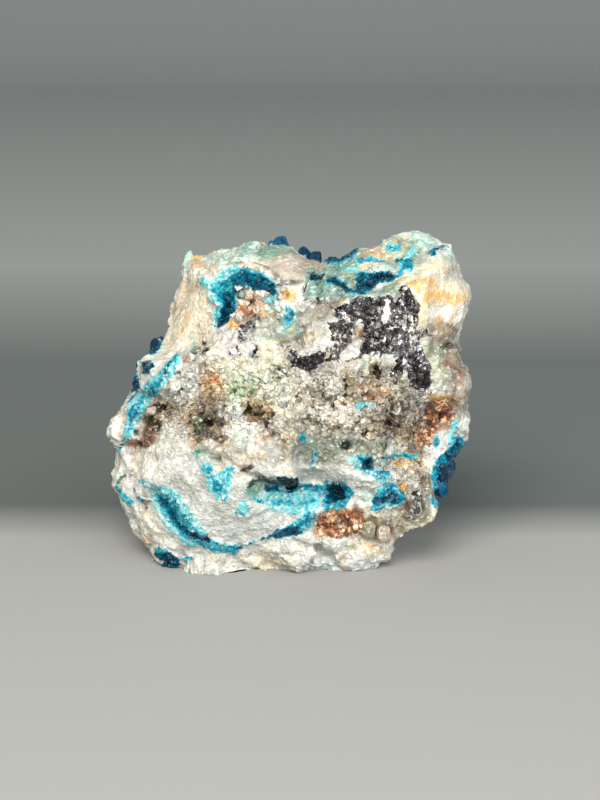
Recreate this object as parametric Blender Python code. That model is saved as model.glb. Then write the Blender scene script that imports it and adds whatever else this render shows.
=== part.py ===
"""A veszelyite specimen: blue crystals and crusts on a broken piece of quartz vein rock.

The rock stands upright on a flat broken face at z = 0.  Its form is laid out as it is seen
from the front.  A seen point (u, w) is in millimetres, u to the right and w up, and its depth d
runs away from the viewer.  world_points() turns such points into the object's own frame, where
Z is up and the front looks along -Y.
"""

import math

import bmesh
import bpy
import numpy as np
from mathutils import Matrix, Vector
from mathutils.bvhtree import BVHTree

MM = 0.001

# The front view
VIEW_TILT = math.radians(14.0)
VIEW_DISTANCE = 115.0
VIEW_CENTRE = (0.68, 10.46)
BASE_LIFT = 0.85

# The rock's outline in the front view, clockwise from its upper left horn
ROCK_OUTLINE = (
    (-6.3, 19.4), (-5.9, 19.5), (-5.5, 19.2), (-5.0, 19.6), (-4.2, 19.8), (-3.1, 19.9), (-2.6, 20.2),
    (-2.0, 19.8), (-1.3, 19.6), (0.0, 19.6), (0.6, 19.1), (1.0, 18.8), (1.9, 18.7), (2.4, 18.9),
    (3.3, 18.95), (4.2, 19.6), (5.1, 19.8), (6.1, 20.2), (6.8, 20.6), (7.6, 20.6), (8.3, 20.8),
    (8.9, 20.6), (9.4, 20.0), (10.0, 19.9), (10.25, 19.3), (10.2, 18.2), (10.7, 17.4), (10.9, 16.6),
    (10.7, 15.8), (10.4, 15.0), (10.2, 14.2), (10.1, 13.2), (10.5, 12.4), (10.75, 11.7), (10.7, 10.6),
    (10.6, 9.9), (10.9, 9.3), (10.6, 8.4), (10.0, 7.4), (9.3, 6.5), (9.0, 5.4), (9.0, 4.4), (8.8, 3.5),
    (8.2, 3.1), (7.2, 2.7), (6.5, 1.8), (6.2, 0.6), (5.0, -0.6), (2.0, -1.0), (-2.0, -1.0),
    (-5.0, -0.8), (-6.6, -0.1), (-7.9, 0.7), (-8.3, 1.5), (-9.0, 2.2), (-9.6, 3.2), (-10.1, 4.1),
    (-10.4, 4.9), (-11.0, 5.4), (-10.85, 6.0), (-10.5, 6.7), (-10.4, 7.3), (-10.75, 7.9),
    (-10.7, 8.8), (-10.3, 9.8), (-9.8, 10.7), (-9.3, 11.7), (-9.0, 12.6), (-8.7, 13.2), (-8.0, 13.5),
    (-7.6, 14.1), (-7.2, 15.2), (-6.8, 16.4), (-6.5, 17.4), (-6.45, 18.5),
)
ROCK_MIDDLE = (0.0, 10.0)
# Half the rounded rock's thickness, and the exponent of its rounded section
HALF_DEPTH = 8.0
ROUNDING = 2.6
# How fine the rock's triangles are, and how much they crowd toward the front
ROCK_DETAIL = 5
CROWDING = 0.9
# How the outline's depth wanders: its middle, then height and start of its slow and fast waves
RIM_MIDDLE = 0.6
RIM_SLOW_WAVE = (1.3, -0.3)
RIM_FAST_WAVE = (0.7, 1.0)
# How round the edges are between broken faces, and where these cut the rounded rock
FRONT_EDGES = 0.6
FRONT_CUT = 0.3
BACK_EDGES = 0.8
BACK_CUT = 0.4

# Broken faces: u, w, the depth there, and how the depth grows along u and along w
FRONT_FACES = (
    (-5.0, 15.5, -4.6, -0.55, 0.42),
    (-8.5, 12.0, -2.6, -1.1, 0.1),
    (2.5, 15.0, -5.6, 0.02, 0.30),
    (4.0, 18.0, -4.3, -0.12, 1.5),
    (-1.5, 18.6, -3.8, 0.1, 1.7),
    (9.0, 16.0, -3.4, 0.9, 0.2),
    (-5.0, 4.5, -5.6, -0.42, -0.30),
    (-7.5, 1.8, -3.6, -0.55, -0.95),
    (1.5, 3.4, -5.0, 0.05, -0.65),
    (7.3, 6.0, -4.4, 0.75, -0.25),
    (9.0, 10.0, -3.6, 1.0, 0.0),
    (0.0, 9.0, -6.7, -0.03, 0.07),
)
BACK_FACES = (
    (1.0, 10.0, 6.4, -0.10, -0.10),
    (-6.0, 12.0, 4.8, 0.55, -0.35),
    (-6.5, 5.0, 4.4, 0.5, 0.55),
    (8.0, 9.0, 4.6, -0.8, 0.15),
    (1.0, 17.5, 4.2, 0.1, -0.9),
    (3.0, 3.0, 5.2, -0.15, 0.6),
    (7.0, 16.5, 4.4, -0.5, -0.5),
)
# Hollows: u, w, half width, half height, turn in degrees, depth
FRONT_HOLLOWS = (
    (-2.4, 17.2, 2.2, 1.1, -12.0, 1.0),
    (-3.9, 16.2, 0.8, 1.5, -18.0, 0.9),
    (-1.9, 16.2, 1.3, 0.8, 0.0, 0.6),
    (-8.1, 9.1, 1.0, 1.1, 20.0, 1.1),
    (-5.4, 8.8, 0.9, 0.9, 0.0, 1.1),
    (-1.9, 9.6, 0.9, 0.6, -20.0, 1.0),
    (5.4, 12.0, 0.6, 0.6, 0.0, 0.9),
    (0.6, 4.6, 3.2, 1.1, 0.0, 1.2),
    (2.8, 4.7, 0.9, 0.8, -10.0, 1.4),
    (9.1, 9.6, 0.9, 0.9, -30.0, 0.9),
    (2.8, 2.9, 1.6, 0.8, 0.0, 0.8),
    (5.0, 6.4, 0.9, 0.8, 20.0, 0.7),
    (6.6, 17.6, 1.4, 0.6, 20.0, 0.6),
    (4.6, 17.7, 1.9, 0.7, 10.0, 0.8),
    (5.5, 14.8, 3.2, 1.8, 10.0, 0.5),
    (-7.4, 3.6, 0.8, 2.3, 33.0, 0.5),
)
BACK_HOLLOWS = (
    (-3.0, 13.2, 3.0, 2.4, 20.0, 1.0),
    (4.4, 7.2, 2.0, 1.2, -25.0, 1.1),
    (3.2, 14.6, 1.5, 1.0, 10.0, 0.8),
    (-5.4, 5.0, 1.8, 1.0, 35.0, 0.9),
    (7.0, 12.0, 1.0, 1.6, 0.0, 0.7),
)
# How far past its half widths a hollow reaches, and how steep its wall is
HOLLOW_REACH = 1.25
HOLLOW_WALL = 0.7
# Ledges: the points of an edge from left to right, its rise, and how far it reaches each way
FRONT_LEDGES = (
    (((-3.0, 6.1), (-1.0, 5.9), (1.0, 5.7), (2.5, 5.6), (4.4, 5.3)), 0.7, 1.1),
    (((-8.6, 7.4), (-6.4, 7.3), (-4.4, 7.0), (-2.6, 7.3)), 0.5, 1.2),
    (((2.4, 16.8), (4.4, 16.7), (6.2, 17.0)), 0.5, 0.9),
    (((-7.6, 12.9), (-6.0, 12.7), (-4.6, 12.6)), 0.4, 0.9),
)
BACK_LEDGES = (
    (((-7.5, 9.6), (-4.0, 9.0), (0.0, 9.4), (3.0, 10.4), (6.5, 10.0)), -0.9, 1.6),
    (((-3.0, 5.6), (0.5, 4.6), (4.0, 4.9)), -0.7, 1.3),
    (((0.2, 16.5), (3.0, 16.9), (6.5, 15.8)), -0.7, 1.2),
)
# Tilted chips of the broken surface: the box that they fill, how many, their slope, the
# roundness of their edges, their share at the outline and the most that they rise
CHIP_LOWEST = (-12.0, -9.0, -2.0)
CHIP_HIGHEST = (12.0, 9.0, 22.0)
CHIP_COUNT = 150
CHIP_SLOPE = 0.3
CHIP_BLEND = 0.07
CHIP_SEED = 11
RIM_RELIEF = 0.3
RELIEF_LIMIT = 0.6

# Space between the rock and the crusts and crystals on it
GAP = 0.3
# Crusts lie on a slanted grid of square cells; only nearly whole cells carry a crystal
BED_STEP = 0.62
GRID_SLANT = 0.35
WHOLE_CELL = 0.6
# A crust's crystals: the seam between them, their least height, their taper and their lean
CRYSTAL_SPACE = 0.08
CRYSTAL_LEAST = 0.15
CRYSTAL_TAPER = 0.2
CRYSTAL_LEAN = 0.35
CRYSTAL_HALF = 0.3
# Least share of a crust's face that must look outward for it to carry a crystal
OUTWARD_SHARE = 0.2
# Distances in metres within which corners count as on the cut plane, or as one corner
ON_PLANE = 1e-7
ONE_CORNER = 2e-5
# Half lengths of the rays that find the rock, and of the prisms that trim the crusts
RAY_REACH = 14.0
TRIM_REACH = 13.0
# Crusts: name, outline (u, w), thickness, crystal height, front or back, material, seed
CRUSTS = (
    ("veszelyite_arc_crust",
     ((-5.0, 17.6), (-4.6, 16.6), (-4.5, 15.1), (-3.9, 15.3), (-3.1, 15.9), (-3.3, 17.2), (-2.4, 17.4),
      (-1.6, 17.3), (-0.7, 16.9), (-0.8, 17.6), (-1.3, 18.1), (-2.2, 18.6), (-3.2, 18.5), (-4.0, 17.6)),
     0.4, 0.45, "front", "veszelyite", 3),
    ("veszelyite_ridge_crust",
     ((2.4, 17.6), (3.3, 17.2), (4.4, 17.0), (5.6, 17.3), (6.5, 17.6), (7.4, 18.2), (7.3, 19.0),
      (6.4, 18.6), (5.4, 18.4), (4.2, 18.3), (3.4, 17.9)),
     0.35, 0.4, "front", "veszelyite", 5),
    ("veszelyite_vug_crust",
     ((-2.5, 4.3), (-1.0, 3.8), (1.0, 3.6), (2.4, 3.8), (3.4, 4.4), (3.7, 4.9), (2.9, 5.3), (1.2, 5.3),
      (-0.6, 5.5), (-1.6, 5.3), (-2.4, 5.2)),
     0.35, 0.35, "front", "veszelyite", 7),
    ("veszelyite_left_stripe",
     ((-7.0, 12.9), (-8.0, 12.0), (-8.7, 11.0), (-9.5, 9.8), (-9.9, 8.7), (-9.4, 8.7), (-8.9, 9.8),
      (-8.2, 10.8), (-7.4, 11.9), (-6.6, 12.7)),
     0.3, 0.3, "front", "veszelyite", 9),
    ("veszelyite_seam_crust",
     ((-8.7, 5.3), (-8.2, 4.2), (-7.4, 3.1), (-6.5, 2.1), (-5.4, 1.5), (-4.6, 1.5), (-5.3, 2.2),
      (-6.1, 3.1), (-6.8, 4.2), (-7.7, 5.2)),
     0.3, 0.3, "front", "veszelyite", 13),
    ("veszelyite_foot_crust",
     ((-8.0, 1.4), (-7.5, 0.85), (-6.7, 0.8), (-6.0, 1.1), (-6.6, 1.5), (-7.3, 1.8)),
     0.3, 0.25, "front", "veszelyite", 15),
    ("veszelyite_back_crust",
     ((-5.5, 13.5), (-4.0, 11.5), (-2.0, 10.8), (-0.5, 11.6), (-1.0, 13.6), (-2.8, 15.2), (-4.6, 15.2)),
     0.4, 0.45, "back", "veszelyite", 17),
    ("sulphide_mass",
     ((2.4, 15.2), (3.0, 16.2), (4.5, 16.5), (6.2, 16.7), (7.2, 17.2), (8.0, 16.4), (8.0, 15.0),
      (8.4, 14.0), (8.6, 12.8), (8.3, 11.6), (7.6, 11.4), (6.8, 12.4), (5.4, 13.3), (3.4, 13.1),
      (1.6, 12.3), (0.2, 12.3), (0.3, 13.0), (1.7, 13.3), (2.5, 13.9)),
     0.45, 0.35, "front", "sulphide", 19),
    ("limonite_side_crust",
     ((7.6, 7.4), (8.3, 7.9), (8.9, 8.7), (9.8, 9.1), (9.8, 10.2), (8.7, 10.3), (8.2, 9.2), (7.6, 8.2)),
     0.3, 0.3, "front", "limonite", 21),
    ("limonite_base_crust",
     ((1.3, 2.5), (2.6, 2.1), (4.2, 2.2), (4.6, 3.0), (4.0, 3.7), (2.8, 3.5), (1.7, 3.4)),
     0.3, 0.3, "front", "limonite", 23),
)

# Crystals: seen middle (u, w), its depth, half width, thickness and length, lean to the right,
# lean away from the viewer, spin
CRYSTAL_GROUPS = (
    ("veszelyite_crest_crystal_left",
     (((-0.62, 20.0), 0.4, (0.6, 0.5, 0.8), (8.0, 12.0, 20.0)),)),
    ("veszelyite_crest_crystal_right",
     (((1.2, 19.2), 0.4, (0.6, 0.5, 0.85), (-14.0, 20.0, 50.0)),)),
    ("veszelyite_side_cluster",
     (((10.2, 7.7), -1.5, (0.65, 0.55, 0.9), (25.0, -10.0, 10.0)),
      ((9.8, 6.9), -1.8, (0.65, 0.55, 0.95), (12.0, -18.0, 45.0)),
      ((9.45, 6.0), -1.9, (0.6, 0.5, 0.9), (-6.0, -25.0, 80.0)),
      ((9.3, 5.2), -1.6, (0.55, 0.5, 0.75), (-22.0, -15.0, 20.0)),
      ((9.95, 6.2), -1.4, (0.5, 0.45, 0.65), (30.0, 10.0, 60.0)))),
)
# A crystal's chisel ends: how far they narrow, how much they rise and how thin the edge is
CHISEL_INSET = 0.45
CHISEL_RISE = 0.35
CHISEL_EDGE = 0.35

# Finishes: base colour, roughness, metallic
FINISHES = {
    "quartz": ((0.62, 0.57, 0.50, 1.0), 0.45, 0.0),
    "sulphide": ((0.09, 0.085, 0.095, 1.0), 0.3, 0.8),
    "veszelyite": ((0.01, 0.22, 0.36, 1.0), 0.15, 0.0),
    "limonite": ((0.33, 0.13, 0.05, 1.0), 0.8, 0.0),
}


def clear_scene():
    """Remove whatever objects the file starts with."""
    for item in list(bpy.data.objects):
        bpy.data.objects.remove(item, do_unlink=True)


def new_collection(name, hidden=False):
    """A collection linked to the scene, left out of renders if hidden."""
    collection = bpy.data.collections.new(name)
    bpy.context.scene.collection.children.link(collection)
    collection.hide_render = hidden
    return collection


def finish(name):
    """The Principled material of one mineral."""
    material = bpy.data.materials.get(name)
    if material:
        return material
    colour, roughness, metallic = FINISHES[name]
    material = bpy.data.materials.new(name)
    material.use_nodes = True
    shader = material.node_tree.nodes["Principled BSDF"]
    shader.inputs["Base Color"].default_value = colour
    shader.inputs["Roughness"].default_value = roughness
    shader.inputs["Metallic"].default_value = metallic
    material.diffuse_color = colour
    return material


def add_object(name, bm, material, collection):
    """Turn a bmesh into a named object with one material."""
    mesh = bpy.data.meshes.new(name)
    bm.to_mesh(mesh)
    bm.free()
    mesh.materials.append(finish(material))
    item = bpy.data.objects.new(name, mesh)
    collection.objects.link(item)
    return item


def add_boolean(item, name, operation, other):
    """An exact Boolean modifier of one object with another."""
    modifier = item.modifiers.new(name, "BOOLEAN")
    modifier.operation = operation
    modifier.solver = "EXACT"
    modifier.object = other


def world_points(u, w, d):
    """Seen points and their depths, in the object's frame, in metres."""
    spread = (VIEW_DISTANCE + d) / VIEW_DISTANCE
    across = VIEW_CENTRE[0] + (u - VIEW_CENTRE[0]) * spread
    up = VIEW_CENTRE[1] + (w - VIEW_CENTRE[1]) * spread
    y = up * np.sin(VIEW_TILT) + d * np.cos(VIEW_TILT)
    z = up * np.cos(VIEW_TILT) - d * np.sin(VIEW_TILT) - BASE_LIFT
    return np.stack([across, y, z], axis=-1) * MM


def smooth_max(a, b, blend):
    """The larger of two depths, rounded where they cross."""
    t = np.clip(0.5 + 0.5 * (a - b) / blend, 0.0, 1.0)
    return b * (1.0 - t) + a * t + blend * t * (1.0 - t)


def outline_radius(angle):
    """Distance from the rock's middle to its outline, at each angle."""
    rel = np.array(ROCK_OUTLINE) - ROCK_MIDDLE
    angles = np.arctan2(rel[:, 1], rel[:, 0])
    order = np.argsort(angles)
    return np.interp(angle, angles[order], np.hypot(rel[:, 0], rel[:, 1])[order], period=2.0 * math.pi)


def rim_depth(angle):
    """Depth of the rock's outline, which wanders to and from the viewer."""
    slow = RIM_SLOW_WAVE[0] * np.sin(angle + RIM_SLOW_WAVE[1])
    fast = RIM_FAST_WAVE[0] * np.sin(3.0 * angle + RIM_FAST_WAVE[1])
    return RIM_MIDDLE + slow + fast


def pillow(u, w):
    """Half thickness of the plain rounded rock, and the depth of its rim."""
    angle = np.arctan2(w - ROCK_MIDDLE[1], u - ROCK_MIDDLE[0])
    reach = np.hypot(u - ROCK_MIDDLE[0], w - ROCK_MIDDLE[1]) / outline_radius(angle)
    thick = HALF_DEPTH * np.clip(1.0 - reach**ROUNDING, 0.0, 1.0) ** (1.0 / ROUNDING)
    return thick, rim_depth(angle)


def broken_faces(u, w, faces, blend):
    """The farthest of several sloping faces, which cut the pillow."""
    depth = None
    for face_u, face_w, face_d, along_u, along_w in faces:
        face = face_d + along_u * (u - face_u) + along_w * (w - face_w)
        depth = face if depth is None else smooth_max(depth, face, blend)
    return depth


def path_distance(u, w, path):
    """Distance to a line of points, and +1 above it or -1 below."""
    best = np.full(u.shape, math.inf)
    side = np.zeros(u.shape)
    for start, end in zip(path[:-1], path[1:]):
        eu = end[0] - start[0]
        ew = end[1] - start[1]
        t = np.clip(((u - start[0]) * eu + (w - start[1]) * ew) / (eu * eu + ew * ew), 0.0, 1.0)
        du = u - start[0] - t * eu
        dw = w - start[1] - t * ew
        distance = np.hypot(du, dw)
        side = np.where(distance < best, np.sign(eu * dw - ew * du), side)
        best = np.minimum(best, distance)
    return best, side


def worn_in(u, w, hollows, ledges):
    """How much the hollows and ledges set a surface into the rock at seen points."""
    inward = np.zeros(u.shape)
    for hollow_u, hollow_w, half_u, half_w, turn, deep in hollows:
        c = math.cos(math.radians(turn))
        s = math.sin(math.radians(turn))
        x = ((u - hollow_u) * c + (w - hollow_w) * s) / half_u
        y = ((w - hollow_w) * c - (u - hollow_u) * s) / half_w
        inward = inward + deep * np.clip(HOLLOW_REACH - x * x - y * y, 0.0, 1.0) ** HOLLOW_WALL
    for path, rise, reach in ledges:
        distance, side = path_distance(u, w, path)
        inward = inward - side * 0.5 * rise * np.clip(1.0 - distance / reach, 0.0, 1.0) ** 2
    return inward


def front_depth(u, w):
    """Depth of the rock's front surface at seen points."""
    thick, rim = pillow(u, w)
    depth = smooth_max(rim - thick, broken_faces(u, w, FRONT_FACES, FRONT_EDGES), FRONT_CUT)
    return depth + worn_in(u, w, FRONT_HOLLOWS, FRONT_LEDGES) * np.clip(0.5 * thick, 0.0, 1.0)


def back_depth(u, w):
    """Depth of the rock's back surface at seen points."""
    thick, rim = pillow(u, w)
    mirrored = [(a, b, -c, -d, -e) for a, b, c, d, e in BACK_FACES]
    depth = -smooth_max(-(rim + thick), broken_faces(u, w, mirrored, BACK_EDGES), BACK_CUT)
    return depth - worn_in(u, w, BACK_HOLLOWS, BACK_LEDGES) * np.clip(0.5 * thick, 0.0, 1.0)


def chipped(points):
    """Height of a surface broken into tilted chips, at points in millimetres."""
    rng = np.random.default_rng(CHIP_SEED)
    centres = rng.uniform(CHIP_LOWEST, CHIP_HIGHEST, (CHIP_COUNT, 3))
    slopes = rng.normal(0.0, CHIP_SLOPE, (CHIP_COUNT, 3))
    offset = points[:, None] - centres[None]
    distance = np.linalg.norm(offset, axis=2)
    weight = np.exp((distance.min(axis=1, keepdims=True) - distance) / CHIP_BLEND)
    height = (offset * slopes[None]).sum(axis=2)
    return np.clip((weight * height).sum(axis=1) / weight.sum(axis=1), -RELIEF_LIMIT, RELIEF_LIMIT)


def make_rock(collection):
    """The quartz rock: a ball of even triangles moved onto the rock's surface."""
    bm = bmesh.new()
    bmesh.ops.create_icosphere(bm, subdivisions=ROCK_DETAIL, radius=1.0)
    ball = np.array([v.co for v in bm.verts])
    polar = np.arccos(np.clip(-ball[:, 1], -1.0, 1.0)) / math.pi
    polar = math.pi * polar * (1.0 - CROWDING * (1.0 - polar) * polar)
    around = np.arctan2(ball[:, 2], ball[:, 0])
    out = np.sin(polar)
    ahead = np.cos(polar)
    reach = out * (np.abs(out) ** ROUNDING + np.abs(ahead) ** ROUNDING) ** (-1.0 / ROUNDING)
    u = ROCK_MIDDLE[0] + outline_radius(around) * reach * np.cos(around)
    w = ROCK_MIDDLE[1] + outline_radius(around) * reach * np.sin(around)
    d = np.where(ahead > 0.0, front_depth(u, w), back_depth(u, w))
    seen = np.stack([u, d, w], axis=-1)
    offset = seen - (ROCK_MIDDLE[0], 0.0, ROCK_MIDDLE[1])
    outward_way = offset / np.linalg.norm(offset, axis=1, keepdims=True)
    fade = RIM_RELIEF + (1.0 - RIM_RELIEF) * np.clip(2.0 * np.abs(ahead), 0.0, 1.0)
    seen += outward_way * (chipped(seen) * fade)[:, None]
    for vert, place in zip(bm.verts, world_points(seen[:, 0], seen[:, 2], seen[:, 1])):
        vert.co = place
    everything = list(bm.verts) + list(bm.edges) + list(bm.faces)
    cut = bmesh.ops.bisect_plane(bm, geom=everything, dist=ON_PLANE, plane_co=(0, 0, 0),
                                 plane_no=(0, 0, 1), clear_inner=True)
    rim = [e for e in cut["geom_cut"] if isinstance(e, bmesh.types.BMEdge)]
    bmesh.ops.holes_fill(bm, edges=rim)
    bmesh.ops.dissolve_degenerate(bm, edges=bm.edges[:], dist=ONE_CORNER)
    bmesh.ops.recalc_face_normals(bm, faces=bm.faces[:])
    return add_object("quartz_matrix", bm, "quartz", collection)


def outward(side):
    """The direction off the rock's front or back, along the line of sight."""
    toward = -1.0 if side == "front" else 1.0
    return Vector((0.0, math.cos(VIEW_TILT), -math.sin(VIEW_TILT))) * toward


def ray_depth(tree, u, w, side):
    """Depth of the faceted rock at one seen point, found by a ray along the line of sight."""
    far = RAY_REACH if side == "front" else -RAY_REACH
    start = Vector(world_points(np.array(u), np.array(w), np.array(-far)))
    end = Vector(world_points(np.array(u), np.array(w), np.array(far)))
    direction = (end - start).normalized()
    hit = tree.ray_cast(start, direction)[0]
    if hit is None:
        return None
    total = (end - start).length
    return -far + 2.0 * far * (hit - start).length / total


def bed_depth(tree, u, w, side):
    """Depth of the highest point of the rock under one corner of a bed."""
    reach = 0.5 * BED_STEP
    around = ((0.0, 0.0), (reach, 0.0), (-reach, 0.0), (0.0, reach), (0.0, -reach))
    found = [ray_depth(tree, u + du, w + dw, side) for du, dw in around]
    found = [depth for depth in found if depth is not None]
    if not found:
        return 0.0
    return min(found) - GAP if side == "front" else max(found) + GAP


def make_prism(name, outline, material, cutters):
    """The prism along the line of sight that trims a bed to its outline."""
    u_values = np.array([p[0] for p in outline])
    w_values = np.array([p[1] for p in outline])
    near = world_points(u_values, w_values, np.full(len(outline), -TRIM_REACH))
    far = world_points(u_values, w_values, np.full(len(outline), TRIM_REACH))
    bm = bmesh.new()
    bm.faces.new([bm.verts.new(p) for p in near])
    walls = bmesh.ops.extrude_face_region(bm, geom=bm.faces[:], use_keep_orig=True)
    for vert in walls["geom"]:
        if isinstance(vert, bmesh.types.BMVert):
            nearest = min(range(len(outline)), key=lambda k: (Vector(near[k]) - vert.co).length)
            vert.co = far[nearest]
    bmesh.ops.recalc_face_normals(bm, faces=bm.faces[:])
    prism = add_object(name, bm, material, cutters)
    prism.display_type = "WIRE"
    return prism


def make_bed(name, outline, thick, side, material, tree, collection, cutters):
    """A layer that follows the rock just clear of it, cut to an outline."""
    u_values = [p[0] for p in outline]
    w_values = [p[1] for p in outline]
    wide = max(u_values) - min(u_values) + 2.0 * BED_STEP
    high = max(w_values) - min(w_values) + GRID_SLANT * wide + 2.0 * BED_STEP
    centre_u = 0.5 * (max(u_values) + min(u_values))
    centre_w = 0.5 * (max(w_values) + min(w_values))
    bm = bmesh.new()
    bmesh.ops.create_grid(bm, x_segments=math.ceil(wide / BED_STEP),
                          y_segments=math.ceil(high / BED_STEP), size=0.5)
    for vert in bm.verts:
        u = centre_u + vert.co.x * wide
        w = centre_w + vert.co.y * high + GRID_SLANT * vert.co.x * wide
        vert.co = world_points(np.array(u), np.array(w), np.array(bed_depth(tree, u, w, side)))
    raised = bmesh.ops.extrude_face_region(bm, geom=bm.faces[:], use_keep_orig=True)
    top = [v for v in raised["geom"] if isinstance(v, bmesh.types.BMVert)]
    bmesh.ops.translate(bm, verts=top, vec=outward(side) * thick * MM)
    bmesh.ops.recalc_face_normals(bm, faces=bm.faces[:])
    bed = add_object(name, bm, material, collection)
    add_boolean(bed, "trim", "INTERSECT", make_prism(name + "_outline", outline, material, cutters))
    return bed


def settle(item):
    """Apply an object's modifiers and return its mesh as a bmesh."""
    graph = bpy.context.evaluated_depsgraph_get()
    bm = bmesh.new()
    bm.from_mesh(bpy.data.meshes.new_from_object(item.evaluated_get(graph)))
    item.modifiers.clear()
    return bm


def make_crust(name, outline, thick, tall, side, material, seed, tree, collection, cutters):
    """A mineral crust: a bed whose outer faces stand up as small flat-topped crystals."""
    bed = make_bed(name, outline, thick, side, material, tree, collection, cutters)
    bm = settle(bed)
    rng = np.random.default_rng(seed)
    whole = WHOLE_CELL * (BED_STEP * MM) ** 2
    outer = [f for f in bm.faces
             if f.normal.dot(outward(side)) > OUTWARD_SHARE and f.calc_area() > whole and len(f.verts) == 4]
    for face in outer:
        height = rng.uniform(CRYSTAL_LEAST, 1.0) * tall * MM
        lean = Vector(rng.uniform(-CRYSTAL_LEAN, CRYSTAL_LEAN, 3))
        bmesh.ops.inset_individual(bm, faces=[face], thickness=CRYSTAL_SPACE * MM, depth=0.0)
        middle = face.calc_center_median()
        normal = face.normal.copy()
        for vert in face.verts:
            shrink = CRYSTAL_TAPER * (middle - vert.co)
            tilt = lean.dot(vert.co - middle) / (CRYSTAL_HALF * MM)
            vert.co += shrink + normal * height * (1.0 + tilt)
    bm.to_mesh(bed.data)
    bm.free()
    return bed


def add_crystal(bm, middle, half_sizes, turns):
    """One stubby crystal: a six-sided prism whose ends narrow to a chisel edge."""
    lean_right, lean_away, spin = (math.radians(turn) for turn in turns)
    made = bmesh.ops.create_cone(bm, cap_ends=True, segments=6, radius1=1.0, radius2=1.0, depth=2.0)
    verts = set(made["verts"])
    ends = [face for face in bm.faces if set(face.verts) <= verts and len(face.verts) == 6]
    bmesh.ops.inset_individual(bm, faces=ends, thickness=CHISEL_INSET, depth=0.0)
    for end in ends:
        end.normal_update()
        rise = CHISEL_RISE * end.normal.z
        for vert in end.verts:
            vert.co.z += rise
            vert.co.y *= CHISEL_EDGE
            verts.add(vert)
    sizes = [size * MM for size in half_sizes]
    sizes[2] /= 1.0 + CHISEL_RISE
    placing = (Matrix.Translation(middle) @ Matrix.Rotation(-lean_away, 4, "X")
               @ Matrix.Rotation(lean_right, 4, "Y") @ Matrix.Rotation(spin, 4, "Z")
               @ Matrix.Diagonal((*sizes, 1.0)))
    bmesh.ops.transform(bm, matrix=placing, verts=list(verts))


def make_clearance(rock, cutters):
    """A copy of the rock swollen by the gap, which seats crystals just clear of it."""
    clearance = bpy.data.objects.new("rock_clearance", rock.data.copy())
    cutters.objects.link(clearance)
    clearance.display_type = "WIRE"
    swell = clearance.modifiers.new("swell", "DISPLACE")
    swell.strength = GAP * MM
    swell.mid_level = 0.0
    return clearance


def make_crystals(name, crystals, clearance, collection, cutters):
    """Crystals grown together: the first is joined with the rest and seated on the rock."""
    parts = []
    for number, ((u, w), depth, half_sizes, turns) in enumerate(crystals):
        bm = bmesh.new()
        middle = Vector(world_points(np.array(u), np.array(w), np.array(depth)))
        add_crystal(bm, middle, half_sizes, turns)
        bmesh.ops.recalc_face_normals(bm, faces=bm.faces[:])
        home = cutters if number else collection
        label = f"{name}_{number}" if number else name
        parts.append(add_object(label, bm, "veszelyite", home))
    first = parts[0]
    for neighbour in parts[1:]:
        neighbour.display_type = "WIRE"
        add_boolean(first, "join", "UNION", neighbour)
    add_boolean(first, "seat", "DIFFERENCE", clearance)
    return first


def main():
    """Build the specimen."""
    clear_scene()
    collection = new_collection("veszelyite")
    cutters = new_collection("cutters", hidden=True)
    rock = make_rock(collection)
    bm = bmesh.new()
    bm.from_mesh(rock.data)
    tree = BVHTree.FromBMesh(bm)
    bm.free()
    for name, outline, thick, tall, side, material, seed in CRUSTS:
        make_crust(name, outline, thick, tall, side, material, seed, tree, collection, cutters)
    clearance = make_clearance(rock, cutters)
    for name, crystals in CRYSTAL_GROUPS:
        make_crystals(name, crystals, clearance, collection, cutters)


main()
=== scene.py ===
"""Looks of the veszelyite specimen.

A broken piece of milky quartz carries blue veszelyite crystals and crusts, a patch of dark
sulphide, and cream, mint and rust stains.  The rock's form is laid out as it is seen from the
front: a seen point (u, w) is in millimetres, u to the right and w up, and its depth d runs away
from the viewer.  Stains, hollows and crystals are placed on it by such points.
"""

import logging
import math
from dataclasses import dataclass, field, replace
from enum import Enum

import bpy
import numpy as np
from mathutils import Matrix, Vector

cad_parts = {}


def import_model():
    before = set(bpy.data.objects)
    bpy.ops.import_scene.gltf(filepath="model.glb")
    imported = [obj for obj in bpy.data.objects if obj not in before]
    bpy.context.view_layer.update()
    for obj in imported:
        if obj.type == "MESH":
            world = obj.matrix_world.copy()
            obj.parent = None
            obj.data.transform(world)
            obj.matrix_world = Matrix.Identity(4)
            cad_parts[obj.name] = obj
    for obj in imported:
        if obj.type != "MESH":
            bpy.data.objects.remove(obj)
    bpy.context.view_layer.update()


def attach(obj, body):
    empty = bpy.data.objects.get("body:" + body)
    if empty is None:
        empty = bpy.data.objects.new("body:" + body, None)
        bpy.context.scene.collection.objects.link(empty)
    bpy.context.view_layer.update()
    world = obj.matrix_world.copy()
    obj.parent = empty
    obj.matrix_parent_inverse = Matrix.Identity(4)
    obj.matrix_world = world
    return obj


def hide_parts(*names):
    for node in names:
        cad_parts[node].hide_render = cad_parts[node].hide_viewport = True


LOG = logging.getLogger("veszelyite")
MM = 0.001
ROOT = "root"


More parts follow.
